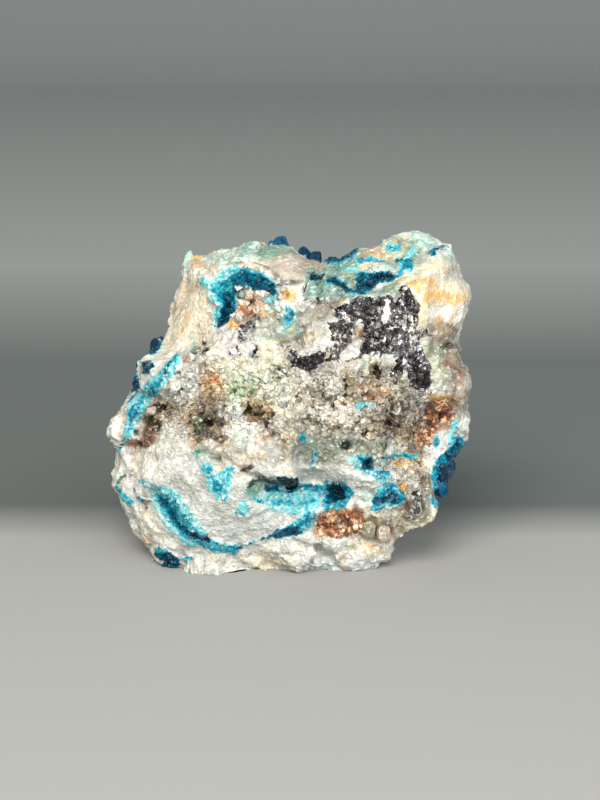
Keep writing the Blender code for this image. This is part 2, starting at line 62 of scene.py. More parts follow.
class Tint(Enum):
    """Colours of the quartz and its stains, as they look in daylight, and three tints of painted shade."""

    MILKY = "#d9dad3"
    WHITE = "#eef0ea"
    LILAC = "#d6cece"
    PINKISH = "#cbbbae"
    CREAM = "#eedbb4"
    BUFF = "#d6c6a8"
    CLAY = "#b3a595"
    SAND = "#d2c0a0"
    OCHRE = "#e2b268"
    AMBER = "#cf9650"
    PEACH = "#e3b78d"
    ORANGE = "#cf7f48"
    RUST = "#9c5f3c"
    OXBLOOD = "#5f3424"
    BROWN = "#604830"
    UMBER = "#33261b"
    BLACK = "#1c1815"
    TAN = "#c2b6a2"
    HAZEL = "#ad9468"
    OLIVE = "#8e8870"
    SAGE = "#c6cbaf"
    GREY = "#c3c8c4"
    SLATE = "#8d8a88"
    CHARCOAL = "#45403f"
    # White for the sulphide's silvery faces and for its painted glints
    SILVER_GLINT = "#ffffff"
    PEWTER = "#cdcbcb"
    LEAD = "#807e7c"
    MINT = "#b2d0c4"
    APPLE = "#aecdaa"
    SEA = "#66ad9c"
    TEAL = "#2f7f80"
    MOSS = "#64796d"
    # The next three darken the front's colours by multiplying them: painted shade, partly darker quartz
    SHADE = "#b4aea7"
    DUSK = "#a4aba2"
    MINT_SHADE = "#a6c6c0"
    BOTTLE = "#22403a"


class Blue(Enum):
    """Depths of blue that veszelyite shows, from thick dark crystals to a thin pale film."""

    NIGHT = 0.0
    DEEP = 0.22
    AZURE = 0.32
    ROYAL = 0.42
    CYAN = 0.66
    PALE = 1.0


BLUE_RAMP = ((0.0, "#001420"), (0.2, "#00384a"), (0.32, "#004e68"), (0.45, "#02647c"), (0.66, "#0f93a8"), (1.0, "#7cc3c4"))
CRYSTAL_RAMP = ((0.0, "#001226"), (0.22, "#002a42"), (0.32, "#004466"), (0.66, "#1480ac"), (1.0, "#8cc0dc"))


def linear(code: str) -> np.ndarray:
    """Turn an sRGB hex code into linear light.

    Args:
        code: a colour such as "#d8d1c6".

    Returns:
        Three linear values from 0 to 1.
    """
    srgb = np.array([int(code[k:k + 2], 16) for k in (1, 3, 5)]) / 255.0
    return np.where(srgb <= 0.04045, srgb / 12.92, ((srgb + 0.055) / 1.055) ** 2.4)


def blue_colour(tone: np.ndarray) -> np.ndarray:
    """Linear colours of veszelyite at the given depths of blue.

    Args:
        tone: values from 0, night blue, to 1, pale.

    Returns:
        One row of three linear values for each tone.
    """
    stops = np.array([stop for stop, _ in BLUE_RAMP])
    colours = np.array([linear(code) for _, code in BLUE_RAMP])
    return np.stack([np.interp(tone, stops, colours[:, k]) for k in range(3)], axis=-1)


@dataclass(frozen=True)
class FrontView:
    """The view that the specimen was laid out in.

    Attributes:
        tilt: how far the line of sight looks down, in radians.
        distance: from the eye to the plane of depth 0, in millimetres.
        centre: the seen point in the middle of the picture.
        base_lift: how much lower the layout lies than the object's own frame.
        picture_height: height of the picture on the plane of depth 0.
    """

    tilt: float = math.radians(14.0)
    distance: float = 115.0
    centre: tuple[float, float] = (0.68, 10.46)
    base_lift: float = 0.85
    picture_height: float = 49.2

    def world(self, seen: np.ndarray) -> np.ndarray:
        """Turn seen points into the object's frame.

        Args:
            seen: rows of u, d, w in millimetres.

        Returns:
            Rows of x, y, z in metres.
        """
        u, d, w = seen[:, 0], seen[:, 1], seen[:, 2]
        spread = (self.distance + d) / self.distance
        across = self.centre[0] + (u - self.centre[0]) * spread
        up = self.centre[1] + (w - self.centre[1]) * spread
        y = up * math.sin(self.tilt) + d * math.cos(self.tilt)
        z = up * math.cos(self.tilt) - d * math.sin(self.tilt) - self.base_lift
        return np.stack([across, y, z], axis=-1) * MM

    def add_camera(self) -> bpy.types.Object:
        """Put the camera at the viewer's eye.

        Returns:
            The camera object.
        """
        data = bpy.data.cameras.new("front_view")
        data.sensor_width = 36.0
        data.lens = data.sensor_width * self.distance / self.picture_height
        data.clip_start = 0.005
        camera = bpy.data.objects.new("front_view", data)
        sight = Vector((0.0, math.cos(self.tilt), -math.sin(self.tilt)))
        middle = np.array([[self.centre[0], 0.0, self.centre[1]]])
        camera.location = Vector(self.world(middle)[0]) - sight * self.distance * MM
        camera.rotation_euler = sight.to_track_quat("-Z", "Y").to_euler()
        bpy.context.scene.collection.objects.link(camera)
        bpy.context.scene.camera = camera
        return camera


VIEW = FrontView()


def lattice_noise(points: np.ndarray, seed: int) -> np.ndarray:
    """Smooth random values, one swing to a unit of length.

    Args:
        points: rows of coordinates.
        seed: which pattern.

    Returns:
        Values from -1 to 1.
    """
    table = np.random.default_rng(seed).uniform(-1.0, 1.0, (32, 32, 32))
    low = np.floor(points).astype(int)
    part = points - low
    part = part * part * (3.0 - 2.0 * part)
    total = np.zeros(len(points))
    for corner in np.ndindex(2, 2, 2):
        share = np.prod(np.where(corner, part, 1.0 - part), axis=1)
        x, y, z = ((low + corner) % 32).T
        total += share * table[x, y, z]
    return total


def fractal_noise(points: np.ndarray, size: float, octaves: int, seed: int) -> np.ndarray:
    """Sum of smooth noises, each half as large and half as strong as the one before.

    Args:
        points: rows of coordinates.
        size: length of the largest swing.
        octaves: how many noises are summed.
        seed: which pattern.

    Returns:
        Values of about -1 to 1.
    """
    total = np.zeros(len(points))
    for octave in range(octaves):
        scale = 2.0**octave / size
        total += lattice_noise(points * scale + 7.3 * octave, seed + octave) * 0.5**octave
    return total


def cell_chips(points: np.ndarray, size: float, slope: float, blend: float, seed: int) -> np.ndarray:
    """Height of a surface broken into small tilted chips, one to a jittered cell.

    Each point takes the sloping plane of the nearest cell centre, blended where two are as near.

    Args:
        points: rows of coordinates in millimetres.
        size: width of a chip.
        slope: how steeply chips tilt.
        blend: how soft the edge between chips is, as a share of size.
        seed: which pattern.

    Returns:
        Heights in millimetres.
    """
    rng = np.random.default_rng(seed)
    jitter = rng.uniform(0.15, 0.85, (16, 16, 16, 3))
    slopes = rng.normal(0.0, slope, (16, 16, 16, 3))
    scaled = points / size
    cell = np.floor(scaled).astype(int)
    distances, heights = [], []
    for step in np.ndindex(3, 3, 3):
        near = cell + step - 1
        x, y, z = (near % 16).T
        offset = scaled - (near + jitter[x, y, z])
        distances.append(np.linalg.norm(offset, axis=1))
        heights.append((offset * slopes[x, y, z]).sum(axis=1))
    distances = np.array(distances)
    weight = np.exp((distances.min(axis=0) - distances) / blend)
    return size * (weight * np.array(heights)).sum(axis=0) / weight.sum(axis=0)


def smooth_max(a: np.ndarray, b: np.ndarray, blend: float) -> np.ndarray:
    """The larger of two values, rounded where they cross.

    Args:
        a: first values.
        b: second values.
        blend: how far the rounding reaches.

    Returns:
        The rounded maximum.
    """
    t = np.clip(0.5 + 0.5 * (a - b) / blend, 0.0, 1.0)
    return b * (1.0 - t) + a * t + blend * t * (1.0 - t)


def path_distance(u: np.ndarray, w: np.ndarray, path: tuple) -> tuple[np.ndarray, np.ndarray]:
    """Distance from seen points to a line of points.

    Args:
        u: seen points' places across.
        w: seen points' places up.
        path: the line's points, at least one.

    Returns:
        The distance, and +1 on the line's left side or -1 on its right.
    """
    best = np.hypot(u - path[0][0], w - path[0][1])
    side = np.ones(u.shape)
    for start, end in zip(path[:-1], path[1:]):
        eu, ew = end[0] - start[0], end[1] - start[1]
        t = np.clip(((u - start[0]) * eu + (w - start[1]) * ew) / (eu * eu + ew * ew), 0.0, 1.0)
        du, dw = u - start[0] - t * eu, w - start[1] - t * ew
        distance = np.hypot(du, dw)
        side = np.where(distance < best, np.sign(eu * dw - ew * du), side)
        best = np.minimum(best, distance)
    return best, side


def in_area(u: np.ndarray, w: np.ndarray, outline: tuple) -> np.ndarray:
    """Which seen points lie inside a closed outline.

    Args:
        u: seen points' places across.
        w: seen points' places up.
        outline: the outline's corners.

    Returns:
        True for points inside.
    """
    inside = np.zeros(u.shape, bool)
    for start, end in zip(outline, outline[1:] + outline[:1]):
        if start[1] == end[1]:
            continue
        crossing = (start[1] > w) != (end[1] > w)
        at = start[0] + (w - start[1]) * (end[0] - start[0]) / (end[1] - start[1])
        inside ^= crossing & (u < at)
    return inside


@dataclass(frozen=True)
class Stroke:
    """A patch of the surface: a dab, a line or an area, with a soft edge.

    Attributes:
        path: seen points of the line, or of the area's outline.
        reach: half the line's width, or how far the patch grows past the area's outline.
        soft: width of the soft edge.
        area: whether the path encloses an area.
    """

    path: tuple
    reach: float = 0.3
    soft: float = 0.2
    area: bool = False

    def cover(self, u: np.ndarray, w: np.ndarray) -> np.ndarray:
        """How much of the patch lies at seen points.

        Args:
            u: seen points' places across.
            w: seen points' places up.

        Returns:
            0 outside to 1 inside.
        """
        path = self.path + self.path[:1] if self.area else self.path
        distance, _ = path_distance(u, w, path)
        if self.area:
            distance = np.where(in_area(u, w, self.path), -distance, distance)
        return np.clip((self.reach - distance) / self.soft + 0.5, 0.0, 1.0)


def dab(u: float, w: float, reach: float, soft: float = 0.2) -> Stroke:
    """A round patch.

    Args:
        u: its middle, across.
        w: its middle, up.
        reach: its radius.
        soft: width of its soft edge.

    Returns:
        The patch.
    """
    return Stroke(((u, w),), reach, soft)


def line(*path: tuple, reach: float = 0.15, soft: float = 0.12) -> Stroke:
    """A long thin patch.

    Args:
        path: its seen points.
        reach: half its width.
        soft: width of its soft edge.

    Returns:
        The patch.
    """
    return Stroke(tuple(path), reach, soft)


def field_of(*outline: tuple, reach: float = 0.0, soft: float = 0.3) -> Stroke:
    """A patch that fills an outline.

    Args:
        outline: its corners.
        reach: how far it grows past them.
        soft: width of its soft edge.

    Returns:
        The patch.
    """
    return Stroke(tuple(outline), reach, soft, area=True)


def ring(u: float, w: float, half_u: float, half_w: float, reach: float = 0.06) -> Stroke:
    """A thin oval line.

    Args:
        u: its middle, across.
        w: its middle, up.
        half_u: half its width.
        half_w: half its height.
        reach: half the line's width.

    Returns:
        The patch.
    """
    turns = np.linspace(0.0, 2.0 * math.pi, 13)
    path = tuple((u + half_u * math.cos(turn), w + half_w * math.sin(turn)) for turn in turns)
    return Stroke(path, reach, 0.1)


@dataclass(frozen=True)
class Hollow:
    """An oval hollow in the rock.

    Attributes:
        u: its middle, across.
        w: its middle, up.
        half_u: half its width.
        half_w: half its height.
        turn: how far it is turned, in degrees.
        deep: its depth.
    """

    u: float
    w: float
    half_u: float
    half_w: float
    turn: float
    deep: float

    def inward(self, u: np.ndarray, w: np.ndarray) -> np.ndarray:
        """How far the hollow sets the surface in at seen points.

        Args:
            u: seen points' places across.
            w: seen points' places up.

        Returns:
            Depths in millimetres.
        """
        c, s = math.cos(math.radians(self.turn)), math.sin(math.radians(self.turn))
        x = ((u - self.u) * c + (w - self.w) * s) / self.half_u
        y = ((w - self.w) * c - (u - self.u) * s) / self.half_w
        return self.deep * np.clip(1.25 - x * x - y * y, 0.0, 1.0) ** 0.7


@dataclass(frozen=True)
class Ledge:
    """A broken edge, above which the rock stands out.

    Attributes:
        path: its points, from left to right.
        rise: how far the rock steps out.
        reach: how far the step fades above and below.
    """

    path: tuple
    rise: float
    reach: float

    def inward(self, u: np.ndarray, w: np.ndarray) -> np.ndarray:
        """How far the ledge sets the surface in at seen points.

        Args:
            u: seen points' places across.
            w: seen points' places up.

        Returns:
            Depths in millimetres, below zero where the rock stands out.
        """
        distance, side = path_distance(u, w, self.path)
        step = side * np.clip(distance / LEDGE_WALL, 0.0, 1.0)
        return -step * 0.5 * self.rise * np.clip(1.0 - distance / self.reach, 0.0, 1.0) ** 2


@dataclass(frozen=True)
class RockForm:
    """The rock's large form, the same that its collision solid has.

    A pillow fills the outline of the front view; sloping faces cut it, hollows and ledges shape
    it, and tilted chips break it.

    Attributes:
        outline: the outline in the front view.
        middle: the seen point that the outline goes around.
        half_depth: half the pillow's thickness.
        rounding: exponent of the pillow's rounded section.
        front_faces: u, w, depth, growth of depth along u and along w, of each front face.
        back_faces: the same, of each back face.
        front_hollows: hollows of the front.
        back_hollows: hollows of the back.
        front_ledges: ledges of the front.
        back_ledges: ledges of the back.
    """

    outline: tuple
    middle: tuple[float, float]
    half_depth: float
    rounding: float
    front_faces: tuple
    back_faces: tuple
    front_hollows: tuple
    back_hollows: tuple
    front_ledges: tuple
    back_ledges: tuple

    def radius(self, angle: np.ndarray) -> np.ndarray:
        """Distance from the middle to the outline.

        Args:
            angle: directions in the front view, in radians.

        Returns:
            Distances in millimetres.
        """
        rel = np.array(self.outline) - self.middle
        angles = np.arctan2(rel[:, 1], rel[:, 0])
        order = np.argsort(angles)
        lengths = np.hypot(rel[:, 0], rel[:, 1])
        return np.interp(angle, angles[order], lengths[order], period=2.0 * math.pi)

    def pillow(self, u: np.ndarray, w: np.ndarray) -> tuple[np.ndarray, np.ndarray]:
        """The plain rounded rock at seen points.

        Args:
            u: seen points' places across.
            w: seen points' places up.

        Returns:
            Half its thickness, and the depth of its rim.
        """
        angle = np.arctan2(w - self.middle[1], u - self.middle[0])
        reach = np.hypot(u - self.middle[0], w - self.middle[1]) / self.radius(angle)
        inside = np.clip(1.0 - reach**self.rounding, 0.0, 1.0)
        rim = 0.6 + 1.3 * np.sin(angle - 0.3) + 0.7 * np.sin(3.0 * angle + 1.0)
        return self.half_depth * inside ** (1.0 / self.rounding), rim

    def faces(self, u: np.ndarray, w: np.ndarray, faces: tuple, blend: float) -> np.ndarray:
        """The farthest of several sloping faces.

        Args:
            u: seen points' places across.
            w: seen points' places up.
            faces: the faces.
            blend: how round their edges are.

        Returns:
            Depths in millimetres.
        """
        depth = np.full(u.shape, -1e3)
        for face_u, face_w, face_d, along_u, along_w in faces:
            face = face_d + along_u * (u - face_u) + along_w * (w - face_w)
            depth = smooth_max(depth, face, blend)
        return depth

    def front(self, u: np.ndarray, w: np.ndarray) -> np.ndarray:
        """Depth of the front surface.

        Args:
            u: seen points' places across.
            w: seen points' places up.

        Returns:
            Depths in millimetres.
        """
        thick, rim = self.pillow(u, w)
        depth = smooth_max(rim - thick, self.faces(u, w, self.front_faces, 0.6), 0.3)
        worn = sum(shape.inward(u, w) for shape in self.front_hollows + self.front_ledges)
        return depth + worn * np.clip(0.5 * thick, 0.0, 1.0)

    def back(self, u: np.ndarray, w: np.ndarray) -> np.ndarray:
        """Depth of the back surface.

        Args:
            u: seen points' places across.
            w: seen points' places up.

        Returns:
            Depths in millimetres.
        """
        thick, rim = self.pillow(u, w)
        mirrored = tuple((a, b, -c, -d, -e) for a, b, c, d, e in self.back_faces)
        depth = -smooth_max(-(rim + thick), self.faces(u, w, mirrored, 0.8), 0.4)
        worn = sum(shape.inward(u, w) for shape in self.back_hollows + self.back_ledges)
        return depth - worn * np.clip(0.5 * thick, 0.0, 1.0)

    def chipped(self, seen: np.ndarray) -> np.ndarray:
        """Height of the large tilted chips that the rock is broken into.

        Args:
            seen: rows of u, d, w.

        Returns:
            Heights in millimetres.
        """
        rng = np.random.default_rng(CHIP_SEED)
        centres = rng.uniform((-12.0, -9.0, -2.0), (12.0, 9.0, 22.0), (CHIP_COUNT, 3))
        slopes = rng.normal(0.0, CHIP_SLOPE, (CHIP_COUNT, 3))
        heights = np.empty(len(seen))
        for start in range(0, len(seen), CHUNK):
            offset = seen[start:start + CHUNK, None] - centres[None]
            distance = np.linalg.norm(offset, axis=2)
            weight = np.exp((distance.min(axis=1, keepdims=True) - distance) / CHIP_BLEND)
            height = (weight * (offset * slopes[None]).sum(axis=2)).sum(axis=1)
            heights[start:start + CHUNK] = height / weight.sum(axis=1)
        return np.clip(heights, -RELIEF_LIMIT, RELIEF_LIMIT)

    def surface(self, directions: np.ndarray) -> tuple[np.ndarray, np.ndarray]:
        """Move a ball of directions onto the rock.

        The ball's polar angle from the line of sight is squeezed, so that more points face the
        viewer, and the pillow's section gives each direction its seen point.

        Args:
            directions: unit vectors, x across, y away from the viewer and z up.

        Returns:
            Rows of u, d, w, and how squarely each point lies on the front, 1, or back, -1.
        """
        polar = np.arccos(np.clip(-directions[:, 1], -1.0, 1.0)) / math.pi
        polar = math.pi * polar * (1.0 - CROWDING * (1.0 - polar) * polar)
        around = np.arctan2(directions[:, 2], directions[:, 0])
        out, ahead = np.sin(polar), np.cos(polar)
        power = np.abs(out) ** self.rounding + np.abs(ahead) ** self.rounding
        reach = self.radius(around) * out * power ** (-1.0 / self.rounding)
        u = self.middle[0] + reach * np.cos(around)
        w = self.middle[1] + reach * np.sin(around)
        d = np.where(ahead > 0.0, self.front(u, w), self.back(u, w))
        seen = np.stack([u, d, w], axis=-1)
        offset = seen - (self.middle[0], 0.0, self.middle[1])
        away = offset / np.linalg.norm(offset, axis=1, keepdims=True)
        fade = RIM_RELIEF + (1.0 - RIM_RELIEF) * np.clip(2.0 * np.abs(ahead), 0.0, 1.0)
        # The smooth lower facet is hardly chipped
        fade = fade * (1.0 - 0.85 * CALM_STRETCH.cover(u, w) * np.clip(3.0 * ahead, 0.0, 1.0))
        return seen + away * (self.chipped(seen) * fade)[:, None], ahead


CALM_STRETCH = field_of((-8.4, 3.6), (-6.4, 6.4), (-3.0, 5.0), (0.0, 3.6), (2.4, 3.2), (2.0, 1.8), (-2.0, 1.2), (-6.4, 1.6), soft=2.0)
LEDGE_WALL = 0.22
CHIP_COUNT = 150
CHIP_SLOPE = 0.3
CHIP_BLEND = 0.07
CHIP_SEED = 11
RELIEF_LIMIT = 0.6
RIM_RELIEF = 0.3
CROWDING = 0.9
CHUNK = 20000

ROCK = RockForm(
    outline=(
        (-6.3, 19.4), (-5.9, 19.5), (-5.5, 19.2), (-5.0, 19.6), (-4.2, 19.8), (-3.1, 19.9), (-2.6, 20.2),
        (-2.0, 19.8), (-1.3, 19.6), (0.0, 19.6), (0.6, 19.1), (1.0, 18.8), (1.9, 18.7), (2.4, 18.9),
        (3.3, 18.95), (4.2, 19.6), (5.1, 19.8), (6.1, 20.2), (6.8, 20.6), (7.6, 20.6), (8.3, 20.8),
        (8.9, 20.6), (9.4, 20.0), (10.0, 19.9), (10.25, 19.3), (10.2, 18.2), (10.7, 17.4), (10.9, 16.6),
        (10.7, 15.8), (10.4, 15.0), (10.2, 14.2), (10.1, 13.2), (10.5, 12.4), (10.75, 11.7), (10.7, 10.6),
        (10.6, 9.9), (10.9, 9.3), (10.6, 8.4), (10.0, 7.4), (9.3, 6.5), (9.0, 5.4), (9.0, 4.4), (8.8, 3.5),
        (8.2, 3.1), (7.2, 2.7), (6.5, 1.8), (6.2, 0.6), (5.0, -0.6), (2.0, -1.0), (-2.0, -1.0),
        (-5.0, -0.8), (-6.6, -0.1), (-7.9, 0.7), (-8.3, 1.5), (-9.0, 2.2), (-9.6, 3.2), (-10.1, 4.1),
        (-10.4, 4.9), (-11.0, 5.4), (-10.85, 6.0), (-10.5, 6.7), (-10.4, 7.3), (-10.75, 7.9),
        (-10.7, 8.8), (-10.3, 9.8), (-9.8, 10.7), (-9.3, 11.7), (-9.0, 12.6), (-8.7, 13.2), (-8.0, 13.5),
        (-7.6, 14.1), (-7.2, 15.2), (-6.8, 16.4), (-6.5, 17.4), (-6.45, 18.5),
    ),
    middle=(0.0, 10.0),
    half_depth=8.0,
    rounding=2.6,
    front_faces=(
        (-5.0, 15.5, -4.6, -0.55, 0.42), (-8.5, 12.0, -2.6, -1.1, 0.1), (2.5, 15.0, -5.6, 0.02, 0.30),
        (4.0, 18.0, -4.3, -0.12, 1.5), (-1.5, 18.6, -3.8, 0.1, 1.7), (9.0, 16.0, -3.4, 0.9, 0.2),
        (-5.0, 4.5, -5.6, -0.42, -0.30), (-7.5, 1.8, -3.6, -0.55, -0.95), (1.5, 3.4, -5.0, 0.05, -0.65),
        (7.3, 6.0, -4.4, 0.75, -0.25), (9.0, 10.0, -3.6, 1.0, 0.0), (0.0, 9.0, -6.7, -0.03, 0.07),
    ),
    back_faces=(
        (1.0, 10.0, 6.4, -0.10, -0.10), (-6.0, 12.0, 4.8, 0.55, -0.35), (-6.5, 5.0, 4.4, 0.5, 0.55),
        (8.0, 9.0, 4.6, -0.8, 0.15), (1.0, 17.5, 4.2, 0.1, -0.9), (3.0, 3.0, 5.2, -0.15, 0.6),
        (7.0, 16.5, 4.4, -0.5, -0.5),
    ),
    front_hollows=(
        Hollow(-2.4, 17.2, 2.2, 1.1, -12.0, 1.0), Hollow(-3.9, 16.2, 0.8, 1.5, -18.0, 0.9),
        Hollow(-1.9, 16.2, 1.3, 0.8, 0.0, 0.6), Hollow(-8.1, 9.1, 1.0, 1.1, 20.0, 1.1),
        Hollow(-5.4, 8.8, 0.9, 0.9, 0.0, 1.1), Hollow(-1.9, 9.6, 0.9, 0.6, -20.0, 1.0),
        Hollow(5.4, 12.0, 0.6, 0.6, 0.0, 0.9), Hollow(0.6, 4.7, 2.9, 1.0, 0.0, 0.9),
        Hollow(2.8, 4.7, 0.9, 0.8, -10.0, 1.4), Hollow(9.1, 9.6, 0.9, 0.9, -30.0, 0.9),
        Hollow(2.8, 2.9, 1.6, 0.8, 0.0, 0.8), Hollow(5.0, 6.4, 0.9, 0.8, 20.0, 0.7),
        Hollow(6.6, 17.6, 1.4, 0.6, 20.0, 0.6), Hollow(4.6, 17.7, 1.9, 0.7, 10.0, 0.8),
        Hollow(5.5, 14.8, 3.2, 1.8, 10.0, 0.5), Hollow(-7.4, 3.6, 0.8, 2.3, 33.0, 0.5),
    ),
    back_hollows=(
        Hollow(-3.0, 13.2, 3.0, 2.4, 20.0, 1.0), Hollow(4.4, 7.2, 2.0, 1.2, -25.0, 1.1),
        Hollow(3.2, 14.6, 1.5, 1.0, 10.0, 0.8), Hollow(-5.4, 5.0, 1.8, 1.0, 35.0, 0.9),
        Hollow(7.0, 12.0, 1.0, 1.6, 0.0, 0.7),
    ),
    front_ledges=(
        Ledge(((-3.0, 6.1), (-1.0, 5.9), (1.0, 5.7), (2.5, 5.6), (4.4, 5.3)), 0.7, 1.1),
        Ledge(((-8.6, 7.4), (-6.4, 7.3), (-4.4, 7.0), (-2.6, 7.3)), 0.5, 1.2),
        Ledge(((2.4, 16.8), (4.4, 16.7), (6.2, 17.0)), 0.5, 0.9),
        Ledge(((-7.6, 12.9), (-6.0, 12.7), (-4.6, 12.6)), 0.4, 0.9),
    ),
    back_ledges=(
        Ledge(((-7.5, 9.6), (-4.0, 9.0), (0.0, 9.4), (3.0, 10.4), (6.5, 10.0)), -0.9, 1.6),
        Ledge(((-3.0, 5.6), (0.5, 4.6), (4.0, 4.9)), -0.7, 1.3),
        Ledge(((0.2, 16.5), (3.0, 16.9), (6.5, 15.8)), -0.7, 1.2),
    ),
)


# Small pits and gaps that only the finished surface has
PITS = (
    Hollow(3.0, 4.75, 0.95, 0.6, -12.0, 0.8), Hollow(0.0, 5.35, 0.6, 0.34, -15.0, 0.7),
    Hollow(-2.85, 17.0, 0.42, 0.4, 0.0, 0.5), Hollow(-3.75, 16.2, 0.4, 0.9, -15.0, 0.5),
    Hollow(-1.6, 17.75, 0.8, 0.25, -25.0, 0.35), Hollow(-8.2, 8.9, 0.5, 0.7, 10.0, 0.7),
    Hollow(-7.7, 9.7, 0.35, 0.3, 0.0, 0.5), Hollow(-5.0, 8.8, 0.45, 0.6, -10.0, 0.8),
    Hollow(-5.7, 8.7, 0.25, 0.35, 0.0, 0.4), Hollow(-4.2, 9.0, 0.22, 0.22, 0.0, 0.5),
    Hollow(-4.2, 8.0, 0.2, 0.2, 0.0, 0.4), Hollow(-4.7, 8.2, 0.2, 0.18, 0.0, 0.4),
    Hollow(-4.3, 6.8, 0.16, 0.14, 0.0, 0.3), Hollow(-2.1, 9.65, 0.5, 0.35, -15.0, 0.7),
    Hollow(-1.3, 9.3, 0.3, 0.2, 30.0, 0.4), Hollow(3.5, 11.05, 0.13, 0.6, 0.0, 0.6),
    Hollow(5.4, 12.0, 0.4, 0.4, 0.0, 0.6), Hollow(-2.6, 6.35, 0.24, 0.15, 0.0, 0.5),
    Hollow(-5.25, 13.7, 0.14, 0.5, -12.0, 0.5), Hollow(9.1, 9.5, 0.42, 0.36, 0.0, 0.6),
    Hollow(2.7, 2.9, 0.35, 0.25, 0.0, 0.5), Hollow(1.9, 2.8, 0.25, 0.2, 20.0, 0.3),
    Hollow(3.7, 3.2, 0.25, 0.3, 0.0, 0.3), Hollow(4.6, 17.35, 0.9, 0.14, 8.0, 0.4),
    Hollow(5.4, 17.9, 0.7, 0.16, 12.0, 0.35), Hollow(2.9, 17.55, 0.6, 0.12, -10.0, 0.3),
    Hollow(0.1, 17.75, 0.7, 0.07, 6.0, 0.3),
    Hollow(3.5, 7.6, 0.3, 0.25, 0.0, 0.6), Hollow(4.7, 6.6, 0.35, 0.4, 10.0, 0.4),
    Hollow(9.75, 13.75, 0.4, 0.13, 8.0, 0.6), Hollow(9.25, 11.1, 0.3, 0.08, 5.0, 0.4),
    Hollow(7.8, 4.2, 0.36, 0.75, -6.0, 0.35), Hollow(-7.1, 3.5, 0.3, 1.5, 38.0, 0.3),
    Hollow(-10.3, 5.5, 0.12, 0.4, -35.0, 0.3), Hollow(-4.8, 11.5, 0.12, 0.35, 15.0, 0.4),
    Hollow(-4.9, 10.6, 0.2, 0.14, 0.0, 0.4), Hollow(1.5, 12.9, 0.9, 0.1, -8.0, 0.3),
    Hollow(6.3, 9.0, 0.5, 0.2, -25.0, 0.4), Hollow(5.0, 9.0, 0.2, 0.15, 0.0, 0.3),
    Hollow(0.6, 10.8, 0.35, 0.15, 20.0, 0.3), Hollow(2.2, 11.4, 0.25, 0.15, 0.0, 0.3),
    Hollow(6.1, 14.1, 0.5, 0.2, 60.0, 0.3), Hollow(7.6, 12.6, 0.2, 0.5, 20.0, 0.3),
    Hollow(3.2, 15.2, 0.3, 0.25, 0.0, 0.3), Hollow(1.7, 12.7, 0.5, 0.2, -15.0, 0.3),
)


@dataclass(frozen=True)
class Stain:
    """Patches of one colour on the quartz.

    Attributes:
        tint: the colour.
        strength: how fully it covers.
        patches: where it lies.
    """

    tint: Tint
    strength: float
    patches: tuple[Stroke, ...]
